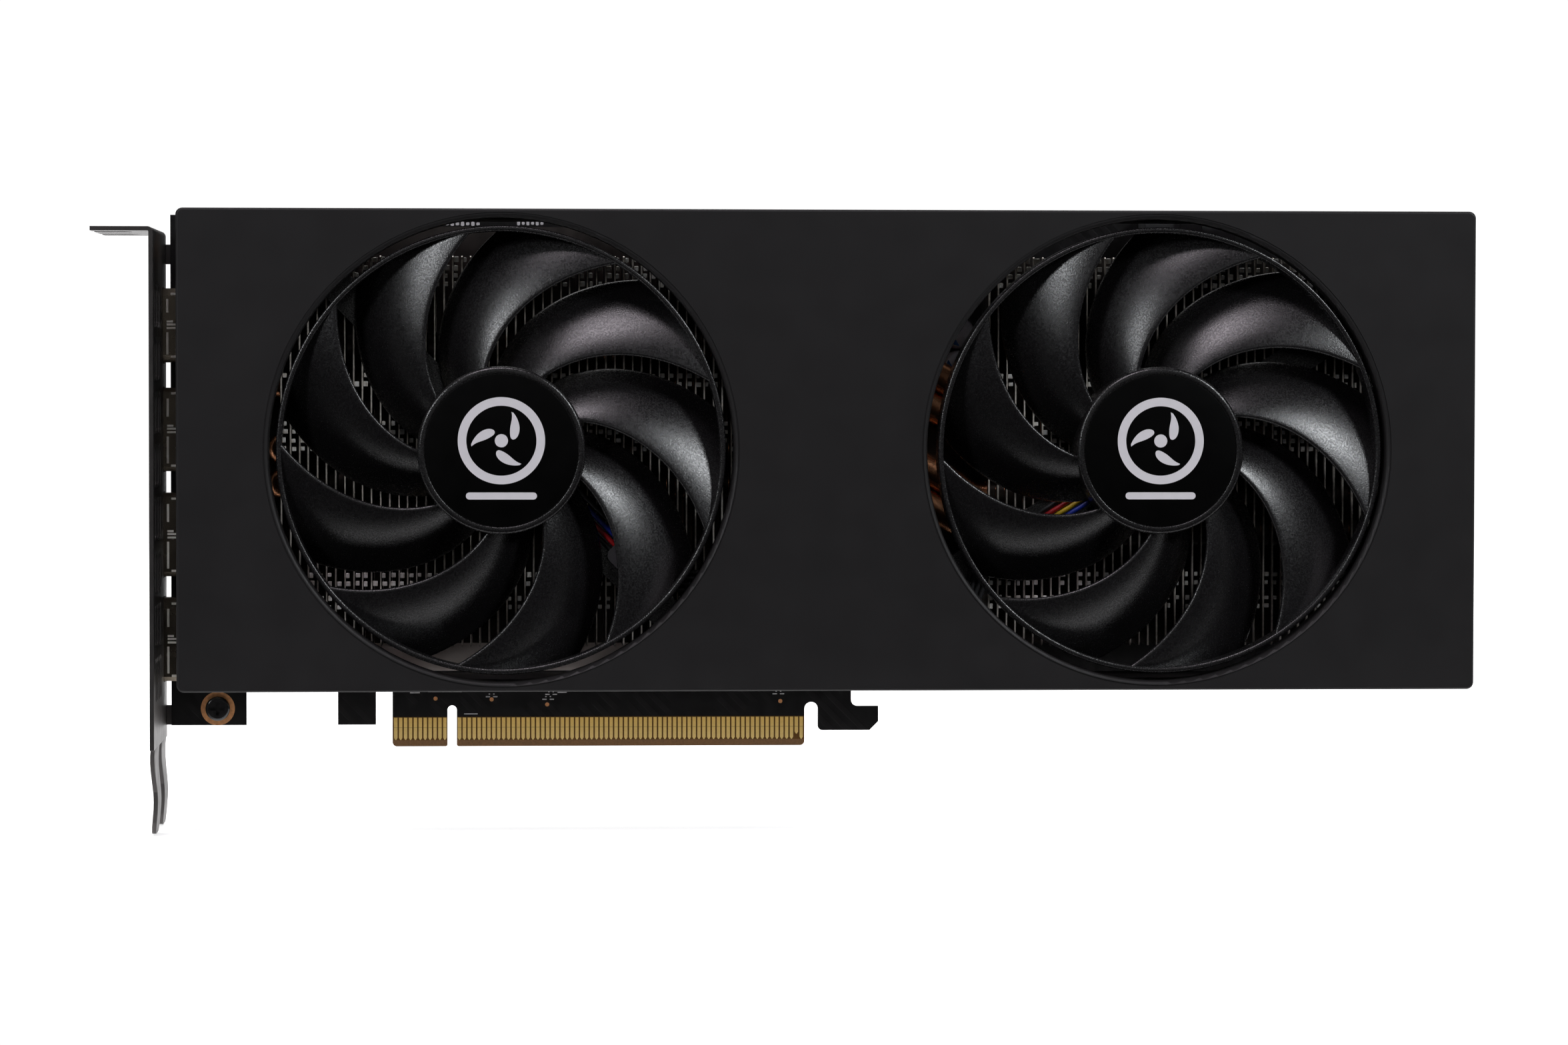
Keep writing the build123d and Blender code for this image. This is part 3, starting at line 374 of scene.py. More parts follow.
def make_surfaces():
    made = {}

    def add(name, *args, **settings):
        made[name] = Surface(name, *args, **settings)
        return made[name]

    add("shroud", (0.0105, 0.0096, 0.0100), 0.50, specular=0.36).clouds(22, 0.08).wear(9, 0.04).relief(
        0.25, 0.006, 0.5)
    add("fan", (0.0062, 0.0057, 0.0062), 0.27, specular=0.7).clouds(8, 0.12).wear(0.35, 0.09).relief(
        0.21, 0.036, 1.0, detail=3.0)
    add("hub_film", (0.0012, 0.0012, 0.0012), 0.45, specular=0.06).clouds(6, 0.2).wear(4, 0.05).relief(
        3, 0.01, 0.3)
    add("emblem", (0.80, 0.78, 0.81), 0.4, specular=0.3).clouds(2, 0.02).wear(1.5, 0.05).relief(
        0.3, 0.004, 0.3)
    add("bracket", (0.085, 0.080, 0.078), 0.42, metallic=0.9).clouds(7, 0.08).wear(3, 0.04).relief(
        1.2, 0.003, 0.2)
    add("black_screw", (0.012, 0.012, 0.012), 0.20, specular=0.7).clouds(0.8, 0.25).wear(0.6, 0.06).relief(
        0.3, 0.01, 0.4)
    drawn = add("socket_steel", (0.20, 0.17, 0.135), 0.25, metallic=1.0)
    drawn.clouds(5, 0.15).wear(3, 0.04).relief(1.5, 0.004, 0.2, vector=drawn.stretched((0.15, 1, 1)))
    add("bright_steel", (0.96, 0.90, 0.82), 0.40, metallic=0.35).clouds(1.5, 0.12).wear(1, 0.06).relief(
        0.6, 0.004, 0.3)
    add("nylon_black", (0.016, 0.016, 0.017), 0.45).clouds(3, 0.12).wear(1, 0.06).relief(0.2, 0.01, 0.5)
    add("powder_coat", (0.0165, 0.0162, 0.0168), 0.55).clouds(12, 0.08).wear(2, 0.06).relief(0.45, 0.03, 0.6)
    add("package", (0.021, 0.021, 0.023), 0.5).clouds(2, 0.15).wear(1, 0.08).relief(0.15, 0.008, 0.6)
    add("die", (0.33, 0.34, 0.38), 0.08, metallic=0.9).clouds(5, 0.06).wear(3, 0.03).relief(2, 0.001, 0.3)
    add("pad", (0.42, 0.44, 0.50), 0.75).clouds(1.5, 0.08).wear(1, 0.08).relief(0.3, 0.03, 0.7)
    add("ferrite", (0.115, 0.115, 0.12), 0.6).clouds(0.6, 0.3).wear(0.5, 0.1).relief(0.2, 0.02, 0.7)
    can = add("can", (0.78, 0.76, 0.84), 0.45, metallic=0.6)
    can.clouds(1.2, 0.08).wear(0.8, 0.07).relief(0.5, 0.004, 0.3, vector=can.stretched((1, 0.2, 1)))
    add("can_print", (0.02, 0.20, 0.60), 0.4).clouds(0.8, 0.15).wear(0.6, 0.08).relief(0.2, 0.004, 0.4)
    # a lighter copy of the fin aluminium for the tabs: a painted highlight where they catch the light
    folded = add("painted_highlight_tab", (0.98, 0.90, 0.79), 0.42, metallic=0.2)
    folded.clouds(0.9, 0.35).wear(0.7, 0.12).relief(0.5, 0.05, 0.8)
    copper = add("copper", (0.95, 0.44, 0.23), 0.26, metallic=1.0)
    copper.clouds(5, 0.05).wear(2.5, 0.03).relief(0.7, 0.004, 0.3, vector=copper.stretched((0.2, 1, 1)))
    add("winding", (0.62, 0.21, 0.07), 0.3, metallic=0.8).clouds(1, 0.2).wear(0.8, 0.08).relief(
        0.25, 0.04, 0.8)
    add("spring_steel", (0.50, 0.50, 0.51), 0.3, metallic=1.0).clouds(3, 0.1).wear(1.5, 0.08).relief(
        0.5, 0.006, 0.4)
    add("nylon_white", (0.70, 0.67, 0.60), 0.45).clouds(3, 0.06).wear(1, 0.06).relief(0.3, 0.01, 0.5)
    add("bronze", (0.50, 0.33, 0.17), 0.4, metallic=1.0).clouds(1, 0.15).wear(0.6, 0.08).relief(
        0.2, 0.01, 0.5)
    add("motor_steel", (0.42, 0.42, 0.43), 0.35, metallic=1.0).clouds(2, 0.1).wear(1, 0.08).relief(
        0.4, 0.01, 0.4)
    add("magnet", (0.055, 0.055, 0.06), 0.55).clouds(1, 0.15).wear(0.8, 0.08).relief(0.3, 0.01, 0.5)
    add("grey_clip", (0.060, 0.054, 0.060), 0.5).clouds(2, 0.08).wear(1, 0.06).relief(0.3, 0.01, 0.5)
    add("silk", (0.42, 0.41, 0.42), 0.6).clouds(0.6, 0.1).wear(0.4, 0.08).relief(0.15, 0.004, 0.4)
    add("solder", (0.62, 0.60, 0.58), 0.22, metallic=1.0).clouds(0.6, 0.1).wear(0.4, 0.08).relief(
        0.3, 0.02, 0.5)
    add("ceramic", (0.30, 0.21, 0.13), 0.5).clouds(0.5, 0.15).wear(0.4, 0.08).relief(0.2, 0.008, 0.5)
    add("pad_copper", (0.62, 0.29, 0.12), 0.4, metallic=0.4).clouds(0.7, 0.2).wear(0.5, 0.1).relief(
        0.25, 0.01, 0.5)
    for name, colour in (("wire_black", (0.012, 0.012, 0.013)), ("wire_red", (0.42, 0.008, 0.012)),
                         ("wire_yellow", (0.62, 0.42, 0.01)), ("wire_blue", (0.008, 0.03, 0.36))):
        add(name, colour, 0.38).clouds(2, 0.1).wear(1, 0.06).relief(0.4, 0.006, 0.4)

    made.update(fin=fin_surface(), plate_aluminium=plate_surface(), gold=gold_surface(),
                board=board_surface())
    return {name: surface.material for name, surface in made.items()}


surfaces = make_surfaces()


def dress(made, body, slot, surface, *cad_nodes):
    """A piece rides on its body, takes its finish, and may stand for CAD nodes."""
    made.data.materials.clear()
    made.data.materials.append(surfaces[surface])
    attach(made, body)
    if cad_nodes:
        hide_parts(*cad_nodes)
    return made


# --- Finishes of the CAD pieces that are shown as they are ---

CAD_FINISH = {
    "shroud": "shroud", "circuit_board": "board", "mounting_bracket": "bracket",
    "bracket_screws": "black_screw", "shroud_screws": "black_screw", "fan_screws": "black_screw",
    "hdmi_socket": "socket_steel", "display_socket_1": "socket_steel", "display_socket_2": "socket_steel",
    "display_socket_3": "socket_steel", "socket_tongues": "nylon_black", "back_plate": "powder_coat",
    "standoffs": "bright_steel", "chip_substrate": "package", "chip_die": "die", "memory_chips": "package",
    "thermal_pads": "pad", "inductors": "ferrite", "power_transistors": "package",
    "base_plate": "plate_aluminium", "cold_plate": "copper", "retention_cross": "spring_steel",
    "insulating_sheet": "pad", "retention_screws": "spring_steel", "power_socket": "nylon_black",
    "power_pins": "gold", "fan_headers": "nylon_white", "fan_plugs": "nylon_white",
}
for side in ("left", "right"):
    CAD_FINISH.update({
        f"fan_frame_{side}": "fan", f"motor_board_{side}": "board", f"bearing_{side}": "bronze",
        f"stator_core_{side}": "motor_steel", f"stator_coils_{side}": "winding",
        f"yoke_{side}": "motor_steel", f"magnet_{side}": "magnet", f"shaft_{side}": "motor_steel"})
for name, finish in CAD_FINISH.items():
    nodes[name].data.materials.clear()
    nodes[name].data.materials.append(surfaces[finish])


def soften(name, width_mm):
    """Rounds the edges of a CAD piece without touching its mesh."""
    weld = nodes[name].modifiers.new("Weld", "WELD")
    weld.merge_threshold = 0.002 * MM
    bevel(nodes[name], width_mm, angle=35)


# --- Fans ---

FAN_X = {"left": 10.0, "right": 140.75}
FAN_Z = 61.14
FAN_TURN = {"left": 0.0, "right": 4.0}
BLADES = 9
HUB_R, HUB_FRONT_H, HUB_BACK_H = 16.6, 35.0, 24.2
CUP_R, CUP_H = 15.4, 33.5
RING_R, RING_IN_R, RING_FRONT_H, RING_BACK_H = 44.3, 43.2, 34.6, 28.8
LABEL_R, LABEL_BACK_H, LABEL_GAP = 15.1, 34.7, 0.08
BLADE_T = 1.1
BLADE_SPAN = 33.0
BLADE_ROOT_R, BLADE_ROOT_ANGLE, BLADE_SWEEP = 16.9, 19.0, 1.55
BLADE_FRONT_H, BLADE_RISE, BLADE_BACK_H = 33.4, 0.6, 24.6
BLADE_IN_R, BLADE_OUT_R, BLADE_SECTIONS = 16.1, 43.7, 26
EMBLEM_T, EMBLEM_UP, VANE_STEPS = 0.07, 1.9, 18
EMBLEM_R, EMBLEM_IN_R, DOT_R = 8.6, 6.9, 1.3


def blade_place(r, part, turn, side):
    """A point on the middle surface of a blade, from its leading edge (0) to its trailing edge (1)."""
    swept_back = BLADE_SWEEP * (r - BLADE_ROOT_R)
    angle = math.radians(BLADE_ROOT_ANGLE - swept_back + BLADE_SPAN * part + turn + FAN_TURN[side])
    lead_h = BLADE_FRONT_H + BLADE_RISE * (r - BLADE_ROOT_R) / (RING_R - BLADE_ROOT_R)
    # the blade is cambered: it falls gently at first and then more steeply
    h = lead_h - (lead_h - BLADE_BACK_H) * (0.35 * part + 0.65 * part ** 2)
    return point(FAN_X[side] + r * math.cos(angle), h, FAN_Z + r * math.sin(angle))


def blade_ring(r, turn, side, steps=22):
    """One section of a blade, round its two rounded edges."""
    small = 1e-3
    front, back = [], []
    for i in range(steps + 1):
        part = 0.5 - 0.5 * math.cos(math.pi * i / steps)
        middle = blade_place(r, part, turn, side)
        along = blade_place(r, part + small, turn, side) - blade_place(r, part - small, turn, side)
        outward = blade_place(r + small, part, turn, side) - blade_place(r - small, part, turn, side)
        normal = along.cross(outward).normalized()
        if normal.y > 0:
            normal.negate()
        # the section is full for most of its length and closes in a half circle at each edge
        from_edge = min(part, 1 - part) * math.radians(BLADE_SPAN) * r
        share = min(1.0, from_edge / (BLADE_T / 2))
        half = BLADE_T / 2 * math.sqrt(max(0.0, 1 - (1 - share) ** 2))
        front.append(middle + normal * half * MM)
        back.append(middle - normal * half * MM)
    return front + back[-2:0:-1]


def impeller(side):
    x, z = FAN_X[side], FAN_Z
    recess_r = LABEL_R + LABEL_GAP
    hub = outline_2d([(0, CUP_H), (CUP_R, CUP_H), (CUP_R, HUB_BACK_H), (HUB_R, HUB_BACK_H),
                      (HUB_R, HUB_FRONT_H), (recess_r, HUB_FRONT_H), (recess_r, LABEL_BACK_H),
                      (0, LABEL_BACK_H)], [0, 0.5, 0.3, 0.3, 0.75, 0.25, 0, 0], steps=5)
    ring = outline_2d(rectangle(RING_IN_R, RING_R, RING_BACK_H, RING_FRONT_H),
                      [0.25, 0.25, 0.42, 0.42], steps=4)
    pieces = [lathe_data(hub, x, z, 128), lathe_data(ring, x, z, 192)]
    radii = [BLADE_IN_R + (BLADE_OUT_R - BLADE_IN_R) * i / BLADE_SECTIONS for i in range(BLADE_SECTIONS + 1)]
    for number in range(BLADES):
        turn = 360 / BLADES * number
        pieces.append(loft_data([blade_ring(r, turn, side) for r in radii]))
    vertices, faces = joined(pieces)
    return mesh_object(f"impeller_{side}.rotor", vertices, faces, smooth_under=50)


def emblem(side):
    """A plain sign for a fan: a ring round three curved vanes, over a bar."""
    place = facing_front(HUB_FRONT_H - 0.02, FAN_X[side], FAN_Z + EMBLEM_UP)
    pieces = [plate_data(circle(0, 0, EMBLEM_R, 96), place, EMBLEM_T, [circle(0, 0, EMBLEM_IN_R, 96)])]
    pieces.append(plate_data(circle(0, 0, DOT_R, 40), place, EMBLEM_T))
    for vane in range(3):
        base = math.radians(120 * vane + 20)
        outer, inner = [], []
        for i in range(VANE_STEPS + 1):
            part = i / VANE_STEPS
            r = 1.95 + 4.05 * part
            sweep = base + 0.85 * part
            # thin at the ends and widest a little inside the middle
            wide = 0.22 + 1.02 * math.sin(math.pi * part ** 0.72)
            for edge, sign in ((outer, 1), (inner, -1)):
                turn = sweep + sign * wide / r
                edge.append((r * math.cos(turn), r * math.sin(turn)))
        pieces.append(plate_data(outer + inner[::-1], place, EMBLEM_T))
    bar = outline_2d(rectangle(-7.0, 7.0, -11.6, -10.2), 0.69, 6)
    pieces.append(plate_data(bar, place, EMBLEM_T))
    vertices, faces = joined(pieces)
    return mesh_object(f"hub_label_{side}.emblem", vertices, faces)


for side in FAN_X:
    body = f"fan_{side}"
    dress(impeller(side), body, "fan_plastic", "fan", f"impeller_{side}")
    disc = outline_2d(rectangle(0, LABEL_R, LABEL_BACK_H, HUB_FRONT_H), [0, 0, 0.12, 0], 3)
    film = mesh_object(f"hub_label_{side}.film", *lathe_data(disc, FAN_X[side], FAN_Z, 128))
    dress(film, body, "hub_sticker", "hub_film", f"hub_label_{side}")
    dress(emblem(side), body, "hub_sticker", "emblem", f"hub_label_{side}")


# --- Fins: folded feet at the back, rows of interlocking tabs at the front ---

FIN_PITCH, FIN_T, EDGE_T = 1.8, 0.4, 0.28
FIN_BACK_H, FIN_FRONT_H = 5.0, 19.0
FIN_BOTTOM, FIN_TOP = 21.5, 99.8
FIN_STACKS = {"left": (-34.0, 87.0), "right": (108.0, 195.5)}
PIPES_LEFT_Z = (81.2, 74.2, 61.0, 54.0)
PIPE_DROP = 9.3
PIPE_H = {"left": 8.4, "right": 13.5}
TAB_ROWS = (98.2, 95.0, 75.0, 65.4, 62.0, 35.0, 30.3)
HOLE_R, COLLAR_R, FLARE_R = 3.05, 3.22, 3.5
EDGE_WANDER = 0.1
# room for the power socket behind the fins: left and right end, height in front, Z
NOTCH_LEFT, NOTCH_RIGHT, NOTCH_H, NOTCH_Z = 139.5, 160.5, 13.2, 93.4


def fin_outline(bottom, top, notched):
    """A fin seen from the bracket: height across, Z up."""
    if notched:
        return [(FIN_BACK_H, bottom), (FIN_FRONT_H, bottom), (FIN_FRONT_H, top), (NOTCH_H, top),
                (NOTCH_H, NOTCH_Z), (FIN_BACK_H, NOTCH_Z)]
    return outline_2d(rectangle(FIN_BACK_H, FIN_FRONT_H, bottom, top), [0, 0.8, 0.8, 0], 3)


def collar(x0, x1, h, z):
    """The punched collar round a pipe, flared where it leaves its fin."""
    rim = [(HOLE_R, x0 - 0.05), (FLARE_R, x0 - 0.05), (COLLAR_R, x0 + 0.25), (COLLAR_R, x1), (HOLE_R, x1)]
    vertices, faces = lathe_data(rim, 0, 0, 20)
    # the lathe turns about Y, so its parts are laid over onto X
    return [point(-v.y / MM, h + v.x / MM, z + v.z / MM) for v in vertices], faces


def fin_stack(side):
    x0, x1 = FIN_STACKS[side]
    drop = 0 if side == "left" else PIPE_DROP
    holes = [circle(PIPE_H[side], z - drop, HOLE_R) for z in PIPES_LEFT_Z]
    pieces, tabs = [], []
    for i in range(int((x1 - x0) / FIN_PITCH) + 1):
        x = x0 + i * FIN_PITCH
        # stamped sheet is never quite straight: the fins' front edges wander a little
        lean = random.uniform(-0.07, 0.07)
        bow = random.uniform(-0.05, 0.05)
        notched = side == "right" and NOTCH_LEFT < x + FIN_T and x < NOTCH_RIGHT

        def place(h, z, t, x=x, lean=lean, bow=bow):
            forward = (h - FIN_BACK_H) / (FIN_FRONT_H - FIN_BACK_H)
            along = math.sin(math.pi * (z - FIN_BOTTOM) / (FIN_TOP - FIN_BOTTOM))
            shift = max(-EDGE_WANDER, min(EDGE_WANDER, forward * (lean + bow * along)))
            # the outer face of the first fin stays flat
            if x == x0 and t == 0:
                shift = 0
            return point(x + t + shift, h, z)

        pieces.append(plate_data(fin_outline(FIN_BOTTOM, FIN_TOP, notched), place, EDGE_T, holes))
        if x + FIN_PITCH > x1:
            continue
        # each fin has a punched collar round each pipe, up to the next fin
        for hole_z in PIPES_LEFT_Z:
            pieces.append(collar(x + EDGE_T, x + FIN_PITCH - 0.06, PIPE_H[side], hole_z - drop))
        next_notched = side == "right" and NOTCH_LEFT < x + FIN_PITCH < NOTCH_RIGHT
        foot_top = NOTCH_Z if notched or next_notched else FIN_TOP
        pieces.append(box_data(x + FIN_T - 0.02, x + FIN_PITCH - 0.03, FIN_BACK_H, FIN_BACK_H + 0.35,
                               FIN_BOTTOM, foot_top))
        for row in TAB_ROWS:
            for step in (-0.85, 0.85):
                if random.random() < 0.12:
                    continue
                tall = random.uniform(0.38, 0.55)
                tab_h = FIN_FRONT_H - random.uniform(0.1, 0.45)
                centre = row + step + random.uniform(-0.08, 0.08)
                start = x + EDGE_T - 0.03 + random.uniform(0, 0.25)
                tabs.append(box_data(start, start + random.uniform(0.6, 1.0), tab_h - 0.3, tab_h,
                                     centre - tall, centre + tall))
    return (mesh_object(f"fin_stack_{side}.fins", *joined(pieces)),
            bevel(mesh_object(f"fin_stack_{side}.tabs", *joined(tabs)), 0.12))


for side in FIN_STACKS:
    fins, tabs = fin_stack(side)
    dress(fins, "card", "cooler_aluminium", "fin", f"fin_stack_{side}")
    # the tabs take the lighter aluminium, a painted highlight
    dress(tabs, "card", "cooler_aluminium", "painted_highlight_tab", f"fin_stack_{side}")


# --- Heat pipes: straight through each stack, stepping down and forward in the gap between them ---

PIPE_R, PIPE_BEND_R = 3.0, 7.5
PIPE_START_X, STEP_START_X, STEP_END_X, PIPE_END_X = -37.0, 89.5, 105.5, 191.0
# the swaged ends, as (distance from the tip, radius)
PIPE_TIP = [(0.0, 1.2), (0.5, 2.2), (1.4, 2.85), (2.6, PIPE_R)]
for number, left_z in enumerate(PIPES_LEFT_Z, start=1):
    right_z = left_z - PIPE_DROP
    corners = [point(PIPE_START_X, PIPE_H["left"], left_z), point(STEP_START_X, PIPE_H["left"], left_z),
               point(STEP_END_X, PIPE_H["right"], right_z), point(PIPE_END_X, PIPE_H["right"], right_z)]
    middle = rounded(corners, PIPE_BEND_R * MM, steps=14)
    path = [middle[0] + Vector((along * MM, 0, 0)) for along, _ in PIPE_TIP] + middle[1:-1]
    path += [middle[-1] - Vector((along * MM, 0, 0)) for along, _ in reversed(PIPE_TIP)]
    radii = [r * MM for _, r in PIPE_TIP] + [PIPE_R * MM] * (len(middle) - 2)
    radii += [r * MM for _, r in reversed(PIPE_TIP)]
    pipe = mesh_object(f"heat_pipe_{number}.tube", *tube_data(path, radii, 28))
    dress(pipe, "card", "copper", "copper", f"heat_pipe_{number}")


# --- Capacitors: a drawn can on a plastic foot, with a printed segment on top ---

CAN_X, CAN_TOP_H, CAN_TOP_Z, CAN_PITCH, CANS = 103.2, 7.6, 98.0, 6.7, 4
CAN_R, FOOT_HALF, FOOT_T, PRINT_R = 3.15, 3.2, 0.6, 2.6
# rolled in just above the foot
can_profile = outline_2d([(0, FOOT_T), (3.1, FOOT_T), (3.1, 1.3), (2.85, 1.5), (CAN_R, 1.8),
                          (CAN_R, CAN_TOP_H), (0, CAN_TOP_H)], [0, 0.1, 0.1, 0.1, 0.1, 0.45, 0], 4)
cans, feet, prints = [], [], []
for i in range(CANS):
    z = CAN_TOP_Z - CAN_PITCH * i
    cans.append(lathe_data(can_profile, CAN_X, z, 48))
    foot = outline_2d(rectangle(CAN_X - FOOT_HALF, CAN_X + FOOT_HALF, z - FOOT_HALF, z + FOOT_HALF),
                      [0.2, 1.0, 1.0, 0.2], 2)
    feet.append(plate_data(foot, facing_front(0), FOOT_T))
    segment = [(CAN_X + PRINT_R * math.cos(math.radians(a)), z + PRINT_R * math.sin(math.radians(a)))
               for a in range(150, 271, 8)]
    prints.append(plate_data(segment, facing_front(CAN_TOP_H - 0.03), 0.05))
dress(mesh_object("capacitors.cans", *joined(cans)), "card", "can_aluminium", "can", "capacitors")
dress(mesh_object("capacitors.feet", *joined(feet)), "card", "can_aluminium", "nylon_black", "capacitors")
dress(mesh_object("capacitors.prints", *joined(prints)), "card", "can_aluminium", "can_print", "capacitors")


# --- Fan leads, one piece for each wire ---

WIRE_H, WIRE_R, WIRE_BEND_R = 22.75, 0.5, 5.0
SLEEVE_WALL, SLEEVE_START, SLEEVE_END = 0.04, 0.8, 2.0
# the step from one wire of a lead to the next, in X and Z
WIRE_STEP = {"left": (0.66, 1.15), "right": (-0.9, 0.8)}
WIRE_COLOURS = {"left": ("wire_black", "wire_red", "wire_blue", "wire_black"),
                "right": ("wire_blue", "wire_yellow", "wire_red", "wire_black")}


def beside_strut(side, angle, along, aside):
    c, s = math.cos(math.radians(angle)), math.sin(math.radians(angle))
    return (FAN_X[side] + along * c - aside * s, WIRE_H, FAN_Z + along * s + aside * c)


LEAD_ROUTES = {
    "left": [beside_strut("left", 315, 12.6, 3.2), beside_strut("left", 315, 40.0, 3.2), (68.0, WIRE_H, 33.6),
             (95.6, WIRE_H, 28.0), (95.6, 6.0, 28.0)],
    "right": [beside_strut("right", 212, 12.6, 0.4), beside_strut("right", 212, 40.0, 0.4),
              (103.0, WIRE_H, 28.0), (103.0, 6.0, 28.0)],
}
for side, route in LEAD_ROUTES.items():
    sleeves = []
    for number, colour in enumerate(WIRE_COLOURS[side]):
        shift_x, shift_z = (step * (number - 1.5) for step in WIRE_STEP[side])
        corners = [point(x + shift_x, h, z + shift_z) for x, h, z in route]
        path = rounded(corners, WIRE_BEND_R * MM, steps=8)
        wire = mesh_object(f"fan_lead_{side}.wire_{number}", *tube_data(path, [WIRE_R * MM] * len(path), 14))
        dress(wire, "card", "wire_insulation", colour, f"fan_lead_{side}")
        # beyond the strut each wire runs in a thin black sleeve, down to just above its plug
        sleeve_start = corners[0].lerp(corners[1], SLEEVE_START)
        sleeve_end = corners[-1] - Vector((0, SLEEVE_END * MM, 0))
        sleeve_path = [sleeve_start] + path[1:-1] + [sleeve_end]
        sleeves.append(tube_data(sleeve_path, [(WIRE_R + SLEEVE_WALL) * MM] * len(sleeve_path), 14))
    dress(mesh_object(f"fan_lead_{side}.sleeves", *joined(sleeves)), "card", "wire_insulation",
          "nylon_black", f"fan_lead_{side}")


# --- A clip that holds the left lead down on its strut ---

CLIP_ALONG, CLIP_ASIDE, CLIP_HALF_L, CLIP_HALF_W, CLIP_H = 32.3, 2.9, 2.8, 3.4, 23.35
STRUT_H = 22.2


def on_left_strut(along, h, aside):
    x, _, z = beside_strut("left", 315, along, aside)
    return point(x, h, z)


clip_outline = outline_2d(rectangle(-CLIP_HALF_L, CLIP_HALF_L, -CLIP_HALF_W, CLIP_HALF_W), 1.6, 6)
clip = [plate_data(clip_outline, lambda a, b, t: on_left_strut(CLIP_ALONG + a, CLIP_H + t, CLIP_ASIDE + b),
                   0.35)]
# its foot stands on the strut and ends a hair inside its top
foot = rectangle(-1.2, 1.2, -0.35, 0.3)
clip.append(plate_data(foot, lambda a, b, t: on_left_strut(CLIP_ALONG + a, STRUT_H + t, b),
                       CLIP_H - STRUT_H + 0.05))
dress(bevel(mesh_object("fan_frame_left.clip", *joined(clip)), 0.08), "card", "fan_plastic", "grey_clip")


# --- Edge contacts, drawn in to a blunt point at the tip ---

CONTACT_HALF_W, TIP_HALF_W, TIP_L, CONTACT_TOP, CONTACT_T = 0.35, 0.1, 0.42, 5.9, 0.05
FIRST_CONTACT_X, CONTACTS_LEFT, CONTACTS_RIGHT = 1.5, 11, 71
# one contact is shorter than the others, so that it meets its spring last
CONTACT_BOTTOM, SHORT_BOTTOM, SHORT_X = 1.35, 2.4, 70.5


def contact(x, front):
    bottom = SHORT_BOTTOM if abs(x - SHORT_X) < 0.1 else CONTACT_BOTTOM
    left, right, shoulder = x - CONTACT_HALF_W, x + CONTACT_HALF_W, bottom + TIP_L
    shape = [(left, shoulder), (x - TIP_HALF_W, bottom), (x + TIP_HALF_W, bottom), (right, shoulder),
             (right, CONTACT_TOP), (left, CONTACT_TOP)]
    return plate_data(shape, facing_front(-0.01 if front else -1.56), CONTACT_T if front else -CONTACT_T)


contacts_x = [-FIRST_CONTACT_X - i for i in range(CONTACTS_LEFT)]
contacts_x += [FIRST_CONTACT_X + i for i in range(CONTACTS_RIGHT)]
contacts = [contact(x, front) for x in contacts_x for front in (True, False)]
dress(mesh_object("edge_contacts.fingers", *joined(contacts)), "card", "gold_contacts", "gold",
      "edge_contacts")


# --- Small things on the board ---

def flat_piece(name, loops, base_h, thickness, slot, surface):
    """Thin printed or etched marks lying on the board, each an outline with its holes."""
    sets = [plate_data(outer, facing_front(base_h), thickness, holes) for outer, holes in loops]
    return dress(mesh_object(name, *joined(sets)), "card", slot, surface)


def bar_loop(x, z, wide, tall):
    corners = rectangle(x - wide / 2, x + wide / 2, z - tall / 2, z + tall / 2)
    return outline_2d(corners, min(wide, tall) * 0.3, 2), []


# flat pieces start a hair inside the board
MARK_H, PAD_T, PRINT_T = -0.01, 0.04, 0.03
EAR_X, EARS_Z, EAR_PAD_R, EAR_HOLE_R = -47.65, (100.4, 7.9), 3.45, 1.4
ear_pads = [(circle(EAR_X, z, EAR_PAD_R, 48), [circle(EAR_X, z, EAR_HOLE_R, 32)]) for z in EARS_Z]
flat_piece("board.screw_pads", ear_pads, MARK_H, PAD_T, "copper", "pad_copper")
TEST_POINTS = ((-3.4, 9.8), (8.05, 9.6), (19.4, 8.55), (67.2, 9.1))
flat_piece("board.test_points", [(circle(x, z, 0.42, 20), []) for x, z in TEST_POINTS],
           MARK_H, PAD_T, "copper", "pad_copper")
# part outlines, and plain bars where a board has lettering
ticks = []
for x, z in ((8.05, 10.15), (19.6, 9.6), (20.2, 10.6), (66.8, 10.6)):
    for step in (-0.75, 0.75):
        ticks.append(bar_loop(x + step, z, 0.9, 0.22))
        ticks.append(bar_loop(x + step * 0.6, z + 0.55, 0.3, 0.22))
for x0, x1, z in ((-8.6, -6.6, 11.0), (-5.0, 2.0, 11.25), (21.5, 23.4, 11.0), (2.4, 5.2, 6.65)):
    ticks.append(bar_loop((x0 + x1) / 2, z, x1 - x0, 0.2))
for x0, x1, wide, z in ((-2.0, 6.8, 0.7, 106.75), (13.6, 19.4, 0.6, 106.9)):
    pitch = wide + 0.35
    for i in range(int((x1 - x0) / pitch)):
        ticks.append(bar_loop(x0 + i * pitch, z, wide, 0.85 - 0.25 * (i % 2)))
flat_piece("board.print", ticks, MARK_H, PRINT_T, "board_laminate", "silk")

